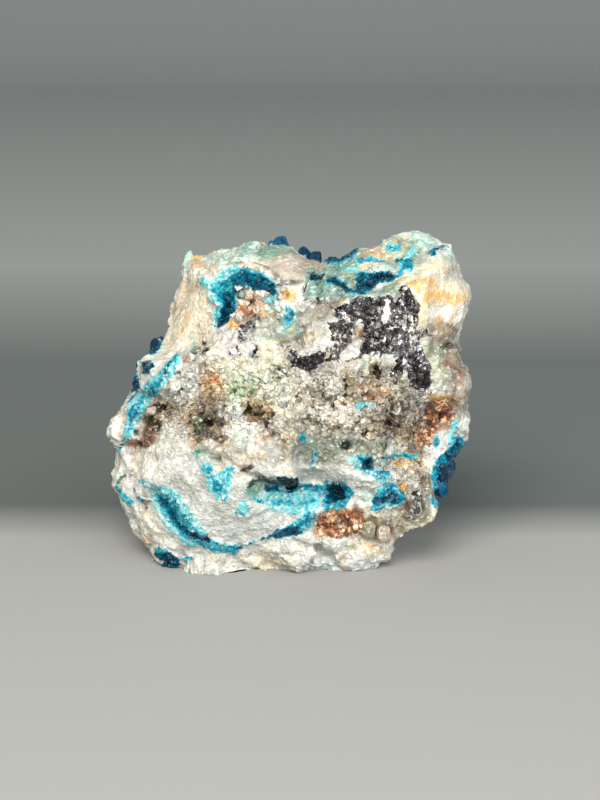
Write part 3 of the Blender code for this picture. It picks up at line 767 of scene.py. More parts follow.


# Stains of the front, painted in this order; some dark ones set in the pits are partly painted shade
FRONT_STAINS = (
    Stain(Tint.GREY, 0.8, (
        field_of((-9.0, 5.0), (-6.0, 6.4), (-2.5, 5.4), (0.2, 3.4), (1.2, 2.4), (-2.0, 1.7), (-5.0, 1.4), (-7.5, 2.0)),
    )),
    Stain(Tint.TAN, 0.8, (
        field_of((-0.3, 12.0), (3.0, 12.4), (6.8, 12.2), (7.2, 10.0), (6.6, 8.4), (3.0, 8.2), (0.6, 9.4), soft=0.8),
        field_of((-9.2, 8.0), (-8.8, 10.2), (-6.0, 11.0), (-5.4, 12.6), (-4.0, 12.0), (-3.6, 9.6), (-4.2, 7.8), (-7.0, 8.0), soft=0.6),
    )),
    Stain(Tint.CREAM, 0.85, (
        field_of((7.2, 15.2), (8.0, 17.4), (7.4, 18.8), (9.6, 19.2), (10.9, 17.0), (10.3, 14.4), (8.8, 14.0), soft=0.7),
        field_of((4.0, 19.0), (5.2, 19.7), (6.5, 20.0), (6.6, 19.2), (4.4, 18.9), soft=0.4),
        field_of((6.2, 20.0), (7.0, 20.6), (8.0, 20.6), (7.8, 20.0)),
    )),
    Stain(Tint.BUFF, 0.95, (
        field_of((-7.6, 13.4), (-6.9, 16.4), (-6.4, 18.0), (-4.9, 18.2), (-4.9, 15.0), (-5.2, 13.6), soft=0.5),
        field_of((-4.6, 18.5), (-2.0, 19.0), (-1.6, 18.4), (-3.2, 18.6), (-5.0, 17.9)),
    )),
    Stain(Tint.CLAY, 0.75, (
        field_of((-1.7, 17.9), (-1.6, 19.7), (0.6, 19.7), (1.9, 18.7), (1.0, 17.8), soft=0.5),
        field_of((6.1, 3.0), (6.2, 6.6), (7.7, 7.0), (8.8, 5.4), (8.6, 3.4), soft=0.7),
    )),
    Stain(Tint.HAZEL, 0.7, (
        field_of((-9.0, 8.4), (-9.0, 10.0), (-7.8, 10.5), (-7.2, 9.8), (-7.6, 8.4), soft=0.6),
        field_of((-6.5, 7.9), (-6.4, 9.7), (-4.6, 10.0), (-3.8, 8.8), (-4.9, 7.7), soft=0.6),
        field_of((-2.9, 8.9), (-2.8, 10.2), (-1.0, 10.3), (-0.8, 9.0), soft=0.6),
        line((1.0, 10.6), (2.4, 11.2), (4.0, 11.4), reach=0.4, soft=0.8), line((4.6, 8.9), (6.8, 9.4), reach=0.4, soft=0.8),
        line((5.0, 12.4), (6.0, 11.6), (6.6, 10.4), reach=0.4, soft=0.8),
    )),
    Stain(Tint.HAZEL, 0.8, (
        field_of((-5.7, 9.7), (-5.6, 12.5), (-4.3, 12.7), (-3.8, 11.0), (-4.0, 9.6), soft=0.9),
    )),
    Stain(Tint.AMBER, 0.55, (
        field_of((-5.3, 10.2), (-5.4, 11.9), (-4.5, 12.1), (-4.3, 10.2), soft=0.9), line((-6.6, 9.6), (-5.8, 9.3), reach=0.2, soft=0.4),
        field_of((4.6, 10.6), (4.8, 11.4), (6.3, 11.3), (6.2, 10.6), soft=0.5),
    )),
    Stain(Tint.SAGE, 0.8, (field_of((6.5, 10.7), (6.4, 12.1), (7.4, 12.3), (7.4, 10.8), soft=0.4),)),
    Stain(Tint.PINKISH, 0.7, (
        field_of((9.2, 13.0), (9.3, 13.6), (10.1, 13.5), (10.0, 12.9)),
        field_of((2.6, 9.0), (2.8, 9.9), (4.4, 9.9), (4.2, 9.1)),
    )),
    Stain(Tint.OLIVE, 0.95, (
        field_of((-0.5, 7.0), (-0.3, 9.2), (1.6, 9.5), (2.9, 8.4), (2.6, 6.9), (0.8, 6.8), soft=0.6),
        line((6.7, 13.1), (6.8, 12.0), (6.9, 11.2), reach=0.2, soft=0.3),
        field_of((4.2, 1.9), (4.4, 3.2), (6.2, 3.3), (6.5, 2.2), (5.4, 1.7), soft=0.3),
    )),
    Stain(Tint.SAGE, 0.8, (
        field_of((8.2, 11.3), (8.4, 12.8), (8.3, 13.8), (9.5, 14.0), (9.9, 12.4), (9.8, 11.2), soft=0.5),
        field_of((-4.0, 10.2), (-4.1, 12.8), (-1.2, 13.2), (0.4, 12.0), (-0.6, 10.4), soft=1.0),
    )),
    Stain(Tint.MINT, 0.85, (
        field_of((-6.2, 18.9), (-6.2, 19.5), (-5.2, 19.3), (-4.6, 19.6), (-3.0, 20.1), (-2.0, 19.8), (-2.4, 19.1), (-3.4, 19.0), (-4.6, 18.9)),
        field_of((1.0, 17.0), (1.1, 17.7), (2.3, 17.8), (2.3, 17.1)),
        field_of((2.4, 18.0), (2.5, 18.8), (4.0, 18.9), (3.9, 18.2)),
        field_of((4.0, 18.3), (5.6, 18.9), (7.4, 19.5), (7.6, 18.8), (6.4, 18.4), (4.6, 18.1)),
        field_of((-1.4, 19.5), (-1.2, 19.9), (0.3, 19.8), (0.2, 19.5)),
        field_of((-2.2, 13.9), (-1.6, 15.1), (-0.4, 15.2), (-0.4, 14.1), soft=0.5),
        field_of((3.7, 12.0), (3.8, 12.9), (5.0, 13.0), (5.0, 12.1), soft=0.4),
        field_of((4.4, 4.1), (4.5, 5.3), (5.5, 5.3), (5.4, 4.2), soft=0.4),
        dab(1.2, 7.7, 0.5, 0.4), dab(-5.9, 14.0, 0.25), dab(-10.7, 5.5, 0.5),
    )),
    Stain(Tint.MINT, 1.4, (
        field_of((7.4, 20.0), (7.7, 20.9), (8.8, 21.0), (9.5, 20.1), (8.6, 19.7)), line((-6.3, 18.6), (-6.4, 19.4), reach=0.2),
        field_of((9.5, 19.1), (9.4, 20.0), (10.4, 20.0), (10.4, 19.2)), dab(-2.7, 19.9, 0.5, 0.4), dab(-4.0, 19.4, 0.5, 0.5),
    )),
    Stain(Tint.APPLE, 0.8, (
        field_of((-3.9, 10.4), (-3.8, 11.6), (-3.0, 12.1), (-2.1, 11.7), (-2.0, 10.6), (-2.8, 10.2), soft=0.4),
        field_of((8.5, 13.1), (8.4, 13.7), (9.4, 13.9), (9.6, 13.2)),
    )),
    Stain(Tint.SEA, 0.85, (
        field_of((-2.6, 4.3), (-2.5, 5.5), (-1.3, 5.7), (-0.6, 5.3), (-1.1, 4.6), (-1.8, 4.2), soft=0.25),
        field_of((1.0, 17.8), (1.1, 18.5), (2.0, 18.5), (2.1, 17.9)),
        dab(-5.6, 7.2, 0.35), dab(-8.7, 9.4, 0.22), dab(-2.85, 17.05, 0.35, 0.15), dab(1.6, 7.15, 0.2),
        field_of((5.9, 6.8), (6.4, 7.25), (7.7, 7.1), (7.6, 6.8)),
        line((7.2, 19.1), (7.7, 19.6), reach=0.35),
    )),
    Stain(Tint.WHITE, 0.8, (
        field_of((-8.2, 10.4), (-8.2, 12.6), (-6.0, 12.9), (-5.4, 11.4), (-5.8, 10.4), soft=0.4),
        field_of((-8.2, 7.6), (-8.0, 9.0), (-6.4, 9.2), (-6.2, 7.6), soft=0.4),
        field_of((-6.1, 17.8), (-6.0, 18.7), (-5.1, 18.8), (-5.0, 18.0)),
        field_of((-3.6, 8.2), (-3.4, 8.8), (-1.4, 8.9), (-1.2, 8.4), soft=0.3),
        field_of((8.6, 15.1), (8.6, 16.3), (10.0, 16.4), (10.0, 15.2), soft=0.4),
        line((8.5, 18.0), (10.1, 18.1), reach=0.3), line((3.3, 13.3), (4.4, 13.3), reach=0.2),
        line((0.7, 13.5), (1.8, 13.6), reach=0.22), line((10.3, 10.0), (9.2, 8.0), (8.3, 7.0), reach=0.2),
        line((2.0, 3.9), (2.05, 5.0), reach=0.12), field_of((-9.6, 5.6), (-8.6, 7.2), (-6.4, 7.2), (-7.0, 5.8), soft=0.6),
    )),
    Stain(Tint.WHITE, 0.9, (
        field_of((0.7, 10.5), (0.8, 11.8), (3.2, 11.8), (3.2, 10.5), soft=0.5), field_of((2.4, 9.1), (2.6, 9.9), (4.4, 10.0), (4.4, 9.3), soft=0.4),
    )),
    Stain(Tint.LILAC, 0.8, (
        field_of((-4.6, 13.2), (-4.5, 14.6), (-3.4, 14.7), (-3.2, 13.3), soft=0.4),
        field_of((2.4, 16.7), (2.4, 17.5), (3.3, 17.5), (3.2, 16.7)),
    )),
    Stain(Tint.PINKISH, 0.9, (
        dab(-8.4, 9.95, 0.4, 0.15), line((-8.0, 12.2), (-7.6, 13.2), reach=0.2, soft=0.2), line((2.1, 16.5), (2.8, 16.5), reach=0.2),
    )),
    Stain(Tint.SLATE, 0.6, (
        field_of((2.3, 13.1), (2.3, 15.2), (3.6, 15.0), (4.3, 14.0), (4.4, 13.1), soft=0.3),
        field_of((7.4, 14.1), (7.5, 14.9), (8.6, 15.0), (8.8, 14.0), (8.2, 13.8), soft=0.3), line((1.9, 12.5), (2.8, 12.9), reach=0.2),
    )),
    Stain(Tint.HAZEL, 0.75, (
        line((2.6, 14.9), (3.2, 14.3), reach=0.12), line((7.8, 14.7), (8.6, 14.5), reach=0.15), dab(2.6, 13.4, 0.16),
    )),
    Stain(Tint.TAN, 0.9, (field_of((3.8, 14.0), (3.8, 14.9), (4.4, 15.15), (4.6, 14.5), (4.4, 13.9), soft=0.15),)),
    Stain(Tint.WHITE, 0.75, (line((3.3, 13.3), (4.3, 13.4), reach=0.16), dab(3.0, 14.0, 0.1, 0.1), dab(3.5, 14.5, 0.1, 0.1))),
    Stain(Tint.HAZEL, 0.9, (dab(4.2, 14.45, 0.36, 0.15),)),
    Stain(Tint.RUST, 0.9, (ring(4.2, 14.45, 0.24, 0.28, 0.06),)),
    Stain(Tint.UMBER, 0.9, (ring(4.2, 14.45, 0.44, 0.48, 0.05), dab(4.2, 14.45, 0.07, 0.08))),
    Stain(Tint.OLIVE, 0.9, (
        line((-5.7, 8.2), (-5.65, 8.9), reach=0.16), dab(4.2, 15.7, 0.22, 0.1), line((3.0, 17.2), (3.5, 16.7), reach=0.07),
        line((-6.0, 10.12), (-5.5, 10.12), reach=0.08), dab(-4.3, 9.15, 0.22, 0.1), dab(-5.75, 13.6, 0.3, 0.15),
    )),
    Stain(Tint.SEA, 0.9, (
        field_of((-5.9, 8.9), (-5.8, 9.5), (-5.4, 9.5), (-5.2, 8.7), (-5.5, 8.6), soft=0.12), dab(-8.8, 9.35, 0.2),
        line((-5.6, 7.4), (-5.4, 7.0), reach=0.1), dab(-9.3, 11.3, 0.15), dab(-2.85, 17.05, 0.3, 0.1),
    )),
    Stain(Tint.PEACH, 0.85, (
        field_of((-3.3, 15.5), (-3.2, 16.7), (-2.4, 17.3), (-1.0, 17.0), (-1.0, 15.6), (-2.2, 15.3), soft=0.4),
        dab(-6.1, 7.7, 0.3), dab(10.5, 11.6, 0.4), line((10.5, 12.0), (10.6, 10.9), reach=0.3),
        field_of((4.6, 19.2), (5.6, 19.7), (6.3, 19.6), (5.6, 19.2)),
    )),
    Stain(Tint.OCHRE, 1.1, (
        field_of((-0.6, 16.4), (-0.5, 17.3), (0.4, 17.4), (0.6, 16.7), (0.1, 16.3), soft=0.3), line((-1.4, 15.9), (-0.9, 15.6), reach=0.15),
        line((-4.0, 15.4), (-3.4, 15.0), (-2.5, 14.9), reach=0.2), dab(-6.3, 15.7, 0.2, 0.5),
        field_of((7.0, 17.1), (7.2, 17.8), (9.0, 17.8), (8.8, 17.2), soft=0.4),
        field_of((8.2, 16.4), (8.4, 17.0), (10.8, 16.9), (10.8, 16.4), soft=0.4), dab(-4.7, 19.6, 0.2),
        line((8.6, 10.5), (10.2, 10.6), reach=0.3),
        dab(-0.1, 14.6, 0.25), line((6.6, 6.4), (7.9, 7.0), reach=0.25), line((6.5, 4.4), (6.9, 5.2), reach=0.3),
    )),
    Stain(Tint.AMBER, 0.85, (
        field_of((-6.0, 18.6), (-6.0, 19.3), (-5.3, 19.3), (-5.2, 18.6)), dab(-4.8, 11.9, 0.35, 0.3),
        line((-5.4, 11.9), (-5.1, 11.2), reach=0.14, soft=0.4), dab(-5.7, 8.8, 0.35),
        dab(8.4, 5.2, 0.3), dab(9.3, 15.4, 0.3), line((3.2, 2.4), (4.2, 2.5), reach=0.2),
    )),
    Stain(Tint.ORANGE, 0.85, (
        line((-2.9, 16.0), (-2.3, 15.8), reach=0.22), line((-10.0, 7.8), (-9.3, 7.75), reach=0.22), dab(-4.7, 11.85, 0.2),
        line((9.7, 12.6), (10.3, 12.5), (10.6, 12.1), reach=0.15),
        line((9.0, 8.9), (9.7, 8.9), reach=0.2), line((3.3, 3.5), (4.4, 3.4), reach=0.3),
    )),
    Stain(Tint.BROWN, 0.8, (ring(7.8, 4.2, 0.46, 0.98, 0.12),)),
    Stain(Tint.RUST, 0.85, (
        line((-3.3, 16.3), (-2.6, 15.7), reach=0.1), line((-2.1, 16.8), (-1.5, 16.9), (-1.3, 16.4), (-1.7, 16.1), reach=0.07),
        line((-9.2, 7.9), (-8.4, 8.0), reach=0.3), dab(-10.3, 7.0, 0.2), dab(-6.3, 12.7, 0.25), dab(2.6, 16.4, 0.18),
        dab(-7.45, 11.45, 0.2), dab(-6.1, 7.7, 0.16), line((0.9, 15.1), (1.05, 14.5), (0.9, 13.9), reach=0.1),
        field_of((-2.8, 9.3), (-2.6, 10.2), (-1.3, 10.2), (-1.2, 9.3), soft=0.4), line((-3.0, 9.1), (-2.2, 9.2), reach=0.12),
        line((-1.0, 8.9), (-0.95, 8.4), (-1.4, 8.1), (-1.8, 7.8), reach=0.15),
        line((8.2, 8.0), (8.7, 9.0), reach=0.3), line((7.7, 7.3), (8.2, 8.0), reach=0.3), 
        field_of((8.2, 9.1), (8.4, 10.3), (9.8, 10.2), (9.8, 9.2), soft=0.4), line((7.1, 3.0), (7.2, 4.4), reach=0.14),
        field_of((1.4, 2.4), (1.5, 3.3), (3.0, 3.7), (4.5, 3.6), (4.4, 2.4), (2.6, 2.1), soft=0.4),
        field_of((5.4, 1.7), (5.5, 2.7), (6.4, 2.8), (6.4, 1.8), soft=0.3), dab(6.9, 20.0, 0.14),
    )),
    Stain(Tint.RUST, 0.7, (
        field_of((7.0, 8.3), (7.1, 9.4), (8.4, 10.0), (8.6, 8.8), (7.9, 8.0), soft=0.5), line((5.0, 10.9), (6.0, 10.2), (6.6, 9.6), reach=0.2, soft=0.4),
        line((4.2, 11.3), (4.6, 10.8), reach=0.16, soft=0.3), field_of((-9.0, 7.7), (-8.9, 8.8), (-8.0, 9.0), (-8.0, 7.9), soft=0.4),
    )),
    Stain(Tint.HAZEL, 1.2, (
        line((-8.8, 9.3), (-8.0, 9.9), (-7.3, 9.9), reach=0.3, soft=0.4), line((-5.6, 9.7), (-4.7, 9.2), reach=0.3, soft=0.4),
        field_of((-2.9, 9.3), (-2.7, 10.3), (-1.2, 10.3), (-1.1, 9.3), soft=0.4), dab(0.2, 10.6, 0.3), dab(1.2, 10.9, 0.2),
    )),
    Stain(Tint.OXBLOOD, 0.85, (
        field_of((-8.9, 7.7), (-8.8, 8.5), (-8.4, 8.5), (-8.3, 7.8)), dab(9.1, 9.6, 0.55, 0.4), dab(2.7, 2.9, 0.35, 0.3),
        field_of((6.0, 8.6), (6.2, 9.4), (7.0, 9.4), (6.8, 8.6), soft=0.3), dab(2.3, 7.1, 0.2),
        line((9.8, 15.2), (10.3, 14.7), reach=0.14),
    )),
    Stain(Tint.BROWN, 1.0, (
        field_of((5.4, 8.3), (5.5, 9.4), (6.8, 9.7), (7.2, 8.9), (6.6, 8.2), soft=0.4), line((-8.9, 9.0), (-8.4, 9.6), reach=0.2), line((-8.0, 9.6), (-7.5, 9.7), (-7.2, 10.0), reach=0.2),
        line((-4.4, 9.9), (-4.5, 9.6), reach=0.1),
        line((-7.1, 10.1), (-6.6, 10.3), (-6.2, 10.1), (-5.9, 10.3), (-5.5, 10.3), (-5.2, 10.05), (-5.1, 9.4), reach=0.06),
        line((-6.35, 9.0), (-6.1, 9.4), (-5.8, 9.6), (-5.4, 9.55), reach=0.06), line((-8.9, 8.4), (-8.6, 8.9), reach=0.1),
        ring(-4.3, 9.12, 0.32, 0.3), ring(-4.2, 8.0, 0.25, 0.18), line((-6.9, 8.3), (-6.3, 8.4), reach=0.05),
        ring(-2.1, 9.75, 0.42, 0.3), ring(-1.5, 9.85, 0.2, 0.24), line((-1.9, 9.1), (-1.2, 8.9), reach=0.14),
        field_of((4.7, 11.6), (4.8, 12.2), (5.5, 12.4), (5.8, 11.8), (5.4, 11.5), soft=0.2),
        dab(5.4, 12.0, 0.5, 0.3), line((9.4, 13.7), (10.1, 13.8), reach=0.14),
        line((5.2, 9.0), (6.4, 9.3), reach=0.3, soft=0.3), line((0.8, 10.8), (2.4, 10.9), reach=0.2, soft=0.3),
    )),
    Stain(Tint.UMBER, 1.8, (
        dab(0.4, 10.35, 0.1), dab(0.55, 10.4, 0.12), line((1.9, 10.9), (2.4, 10.7), reach=0.06), dab(2.6, 10.4, 0.08), dab(6.4, 8.85, 0.16),
        line((7.2, 9.3), (7.6, 9.1), reach=0.08), dab(7.65, 7.55, 0.12), line((4.5, 8.3), (4.8, 8.5), reach=0.06), dab(4.9, 8.1, 0.08),
        line((5.75, 8.1), (5.82, 7.3), reach=0.05), line((-8.2, 9.9), (-7.6, 9.75), reach=0.06), dab(-8.55, 8.75, 0.14),
        line((-6.2, 9.2), (-5.9, 9.6), reach=0.05), line((-7.2, 12.1), (-6.8, 11.8), reach=0.04), dab(-3.1, 12.3, 0.06), dab(3.0, 9.95, 0.08),
        line((0.2, 11.6), (0.6, 11.5), reach=0.04), dab(1.3, 10.1, 0.07), line((-0.2, 9.9), (0.2, 9.8), reach=0.05), dab(5.9, 9.9, 0.1),
        line((6.9, 10.3), (7.2, 10.0), reach=0.05), line((2.0, 8.7), (2.6, 8.6), reach=0.04), dab(3.6, 8.5, 0.07),
    )),
    # Dark brown marks, many set in the pits: partly dirt, partly painted shade in the pits
    Stain(Tint.UMBER, 1.2, (
        dab(-8.2, 8.8, 0.24), line((-7.7, 9.5), (-7.3, 9.75), reach=0.07), line((-5.6, 8.0), (-5.2, 8.25), (-4.6, 8.5), reach=0.08),
        line((-4.35, 8.95), (-4.05, 8.9), reach=0.08), line((-4.4, 8.1), (-4.05, 7.9), reach=0.07), dab(-4.3, 12.4, 0.14),
        line((-5.0, 12.3), (-4.85, 12.1), reach=0.09), line((-4.05, 11.0), (-4.05, 10.3), (-3.8, 9.7), reach=0.04),
        line((-5.1, 11.7), (-4.85, 11.2), reach=0.11), line((-4.7, 10.75), (-4.85, 10.4), reach=0.1), dab(5.2, 12.0, 0.08),
        line((-2.5, 9.7), (-2.0, 9.95), (-1.6, 9.7), reach=0.05), dab(-4.75, 9.2, 0.1), line((6.6, 12.3), (6.2, 11.8), reach=0.07),
        dab(-4.2, 8.0, 0.18), dab(-4.7, 8.2, 0.18), dab(-4.3, 6.8, 0.12), dab(-2.1, 9.6, 0.28, 0.4),
        line((-1.6, 9.1), (-1.0, 9.5), reach=0.16), line((3.5, 10.5), (3.5, 11.6), reach=0.09),
        line((-5.0, 11.5), (-4.8, 11.2), reach=0.12), dab(-4.7, 10.6, 0.12), dab(9.1, 9.5, 0.25),
        line((-0.5, 17.7), (0.2, 17.75), (0.8, 17.85), reach=0.05), line((1.0, 17.0), (1.0, 17.6), reach=0.05),
        line((1.0, 16.65), (2.0, 16.65), reach=0.05), line((9.0, 11.1), (9.5, 11.1), reach=0.08), dab(-2.6, 6.35, 0.1, 0.05),
        dab(-0.3, 6.85, 0.12), dab(-4.25, 14.5, 0.07, 0.05), dab(-6.35, 17.8, 0.1),
        dab(-2.95, 11.1, 0.08, 0.06), dab(-2.65, 10.95, 0.08, 0.06), dab(-2.4, 11.15, 0.08, 0.06),
    )),
    # Black in pits and cracks: partly dark dirt, partly painted shade
    Stain(Tint.BLACK, 1.6, (
        line((-5.2, 14.1), (-5.1, 13.8), (-5.3, 13.3), (-5.8, 13.2), reach=0.1), dab(2.7, 2.9, 0.16),
        line((-3.2, 14.3), (-2.7, 14.8), (-2.3, 14.9), reach=0.2), line((-10.5, 5.2), (-10.1, 5.8), reach=0.08),
        line((-2.8, 6.32), (-2.4, 6.36), reach=0.2, soft=0.06),
        line((-2.3, 15.0), (-2.4, 15.4), (-2.0, 15.5), (-1.8, 15.3), (-1.2, 15.5), reach=0.05),
    )),
    Stain(Tint.BOTTLE, 1.5, (dab(3.5, 7.6, 0.25), line((-2.45, 5.4), (-1.9, 5.65), (-1.2, 5.6), (-0.6, 5.4), reach=0.16), dab(-9.4, 8.4, 0.15))),
    Stain(Tint.CHARCOAL, 0.7, (
        ring(7.8, 4.2, 0.32, 0.8, 0.07), ring(-3.35, 13.5, 0.35, 0.35), ring(-2.1, 13.5, 0.35, 0.35),
        line((-9.45, 5.0), (-9.3, 4.5), (-8.8, 3.7), reach=0.06),
        line((-3.9, 14.1), (-3.5, 14.6), (-2.9, 15.3), reach=0.08), line((8.0, 12.0), (8.9, 11.4), reach=0.1),
    )),
)

# Painted shade: stretches where all colours of the front are darker, partly the quartz's darker colour and partly shade
# painted in
FRONT_PAINTED_SHADE = (
    Stain(Tint.DUSK, 1.0, (
        field_of((8.3, 4.2), (8.3, 5.6), (9.2, 5.8), (9.6, 4.8), (9.2, 4.0), soft=0.3), line((6.9, 15.4), (6.9, 16.7), reach=0.5, soft=0.6),
        field_of((0.5, 6.7), (0.6, 8.0), (2.2, 8.2), (5.9, 8.1), (6.2, 6.9), (4.4, 6.6), (2.4, 6.6), soft=0.5),
        field_of((6.9, 2.8), (6.9, 4.4), (8.9, 4.5), (8.8, 2.8), soft=0.6), line((9.9, 9.4), (10.2, 8.4), (10.7, 8.6), reach=0.3, soft=0.5),
    )),
    Stain(Tint.MINT_SHADE, 1.0, (
        field_of((1.0, 16.9), (1.0, 17.9), (2.0, 18.5), (2.4, 19.0), (4.4, 19.3), (4.7, 18.3), (5.2, 17.4), (6.9, 17.7), (6.9, 16.9),
                 (4.0, 16.7), soft=0.4),
        field_of((-1.8, 19.2), (-1.8, 20.0), (0.6, 20.0), (0.6, 19.3), soft=0.3), field_of((-0.6, 14.2), (-0.5, 15.6), (0.8, 15.5), (0.7, 14.2), soft=0.5),
    )),
    Stain(Tint.SHADE, 1.0, (
        field_of((8.3, 7.9), (8.2, 10.4), (9.6, 10.7), (9.4, 12.9), (8.3, 13.1), (8.3, 15.5), (9.5, 15.4), (10.9, 13.9), (11.4, 10.4),
                 (10.8, 9.6), (9.4, 9.2), (9.0, 7.9), soft=0.6),
        field_of((5.6, 7.9), (5.7, 9.4), (6.2, 10.6), (8.3, 10.5), (8.3, 8.0), soft=0.6), field_of((6.9, 10.4), (6.9, 12.0), (8.3, 12.0), (8.3, 10.4)),
        field_of((-0.6, 12.9), (-0.6, 14.3), (0.8, 14.3), (0.8, 12.9), soft=0.4), field_of((1.9, 15.4), (1.8, 16.8), (3.3, 16.8), (3.3, 15.4), soft=0.4),
        field_of((-5.7, 9.2), (-5.7, 10.6), (-4.2, 10.6), (-4.2, 9.2), soft=0.5), field_of((5.6, 11.8), (5.6, 13.1), (7.1, 13.1), (7.1, 11.8), soft=0.4),
    )),
    Stain(Tint.SHADE, 0.5, (
        field_of((-7.6, 4.8), (-7.4, 7.9), (-4.6, 7.9), (-4.4, 6.6), (-5.3, 4.2), (-6.4, 4.2), soft=1.0), field_of((0.4, 8.0), (0.6, 9.4), (2.3, 9.3), (2.2, 8.0)),
        field_of((6.9, 6.6), (7.0, 8.0), (8.4, 8.0), (8.2, 6.8), soft=0.5), field_of((3.0, 1.6), (3.0, 3.0), (6.9, 3.2), (6.9, 1.6), soft=0.6),
        field_of((-3.4, 5.9), (-2.8, 7.0), (1.4, 6.9), (3.4, 6.2), (1.4, 5.9), soft=0.5),
        field_of((8.2, 7.8), (8.3, 9.4), (9.9, 9.4), (10.6, 8.2), soft=0.4), field_of((4.3, 9.0), (3.2, 10.4), (3.3, 11.8), (5.9, 11.8), (5.9, 9.1), soft=0.5),
        field_of((-9.3, 7.9), (-9.2, 9.3), (-8.0, 9.3), (-7.9, 7.9), soft=0.4), field_of((-6.8, 11.6), (-6.8, 13.0), (-5.4, 13.1), (-5.4, 11.6), soft=0.4),
        field_of((0.6, 17.9), (0.6, 19.3), (2.1, 19.3), (2.1, 17.9), soft=0.4), field_of((9.4, 17.8), (9.4, 19.3), (11.0, 19.3), (11.0, 17.8), soft=0.4),
    )),
    Stain(Tint.MINT_SHADE, 0.6, (
        field_of((5.5, 19.2), (5.6, 20.4), (7.2, 20.8), (8.4, 19.4), (8.2, 18.2), (6.9, 18.0), soft=0.5), field_of((-3.2, 19.2), (-3.2, 20.3), (-1.6, 20.3), (-1.6, 19.2)),
    )),
    Stain(Tint.SHADE, 0.6, (
        field_of((-1.9, 6.7), (-2.0, 9.4), (-0.3, 9.4), (-0.3, 6.7), soft=0.7), field_of((-4.5, 6.6), (-4.5, 8.1), (-2.8, 8.1), (-2.8, 6.6), soft=0.7),
        field_of((0.5, 14.1), (0.4, 16.5), (2.2, 16.5), (2.2, 14.1), soft=0.6), field_of((1.7, 11.6), (1.7, 13.2), (4.4, 13.2), (4.4, 11.8), soft=0.6),
        field_of((-3.2, 14.2), (-3.2, 15.5), (-0.6, 15.6), (-0.6, 14.1), soft=0.6), field_of((3.6, 18.9), (3.8, 19.6), (5.6, 20.0), (5.6, 19.2), soft=0.4),
    )),
)

# Smooth stretches, and stretches of coarse grain, which change how rough the broken surface is
SMOOTH_STRETCHES = (
    field_of((7.4, 14.6), (7.8, 17.6), (7.4, 18.8), (9.8, 19.6), (11.2, 17.0), (10.6, 14.6), soft=0.8),
    field_of((-1.8, 17.8), (-1.7, 19.8), (0.6, 19.7), (2.1, 18.5), (1.0, 17.8), soft=0.6),
    line((-3.2, 6.3), (-1.0, 6.2), (1.2, 6.0), (3.8, 5.6), reach=0.5, soft=0.5),
    field_of((8.0, 7.0), (9.0, 8.8), (10.4, 10.4), (10.6, 9.4), (9.4, 7.4), (8.6, 5.6), soft=0.6),
    field_of((-8.6, 10.4), (-8.0, 13.6), (-7.2, 16.0), (-6.3, 18.0), (-5.2, 17.4), (-5.4, 14.8), (-6.2, 12.6), soft=1.0),
    field_of((-9.6, 4.6), (-8.6, 7.0), (-6.2, 7.0), (-2.6, 5.6), (0.4, 3.2), (0.0, 1.6), (-5.0, 1.2), (-7.8, 1.6), soft=1.2),
    field_of((-0.2, 7.1), (-0.1, 9.0), (1.6, 9.2), (2.4, 8.2), (2.2, 7.1), soft=0.5),
    field_of((-8.0, 7.6), (-7.8, 8.8), (-6.5, 9.0), (-6.3, 7.7), soft=0.4),
)
COARSE_STRETCHES = (
    field_of((-8.6, 8.0), (-8.0, 10.4), (-5.0, 12.8), (0.0, 12.4), (6.8, 12.4), (8.4, 10.8), (8.0, 8.2), (3.0, 8.0), (-3.0, 8.4), soft=1.2),
    field_of((-3.4, 15.4), (-3.0, 18.6), (-0.8, 18.4), (-0.4, 15.4), soft=0.8),
    field_of((6.0, 3.2), (5.2, 7.2), (8.4, 8.0), (8.6, 4.6), soft=0.8),
)


@dataclass(frozen=True)
class BluePatch:
    """Veszelyite on a patch of the rock.

    Attributes:
        tone: how deep its blue is.
        patch: where it lies.
    """

    tone: Blue
    patch: Stroke


def blues(tone: Blue, *patches: Stroke) -> tuple[BluePatch, ...]:
    """Patches of one depth of blue.

    Args:
        tone: the depth of blue.
        patches: where they lie.

    Returns:
        The patches.
    """
    return tuple(BluePatch(tone, patch) for patch in patches)


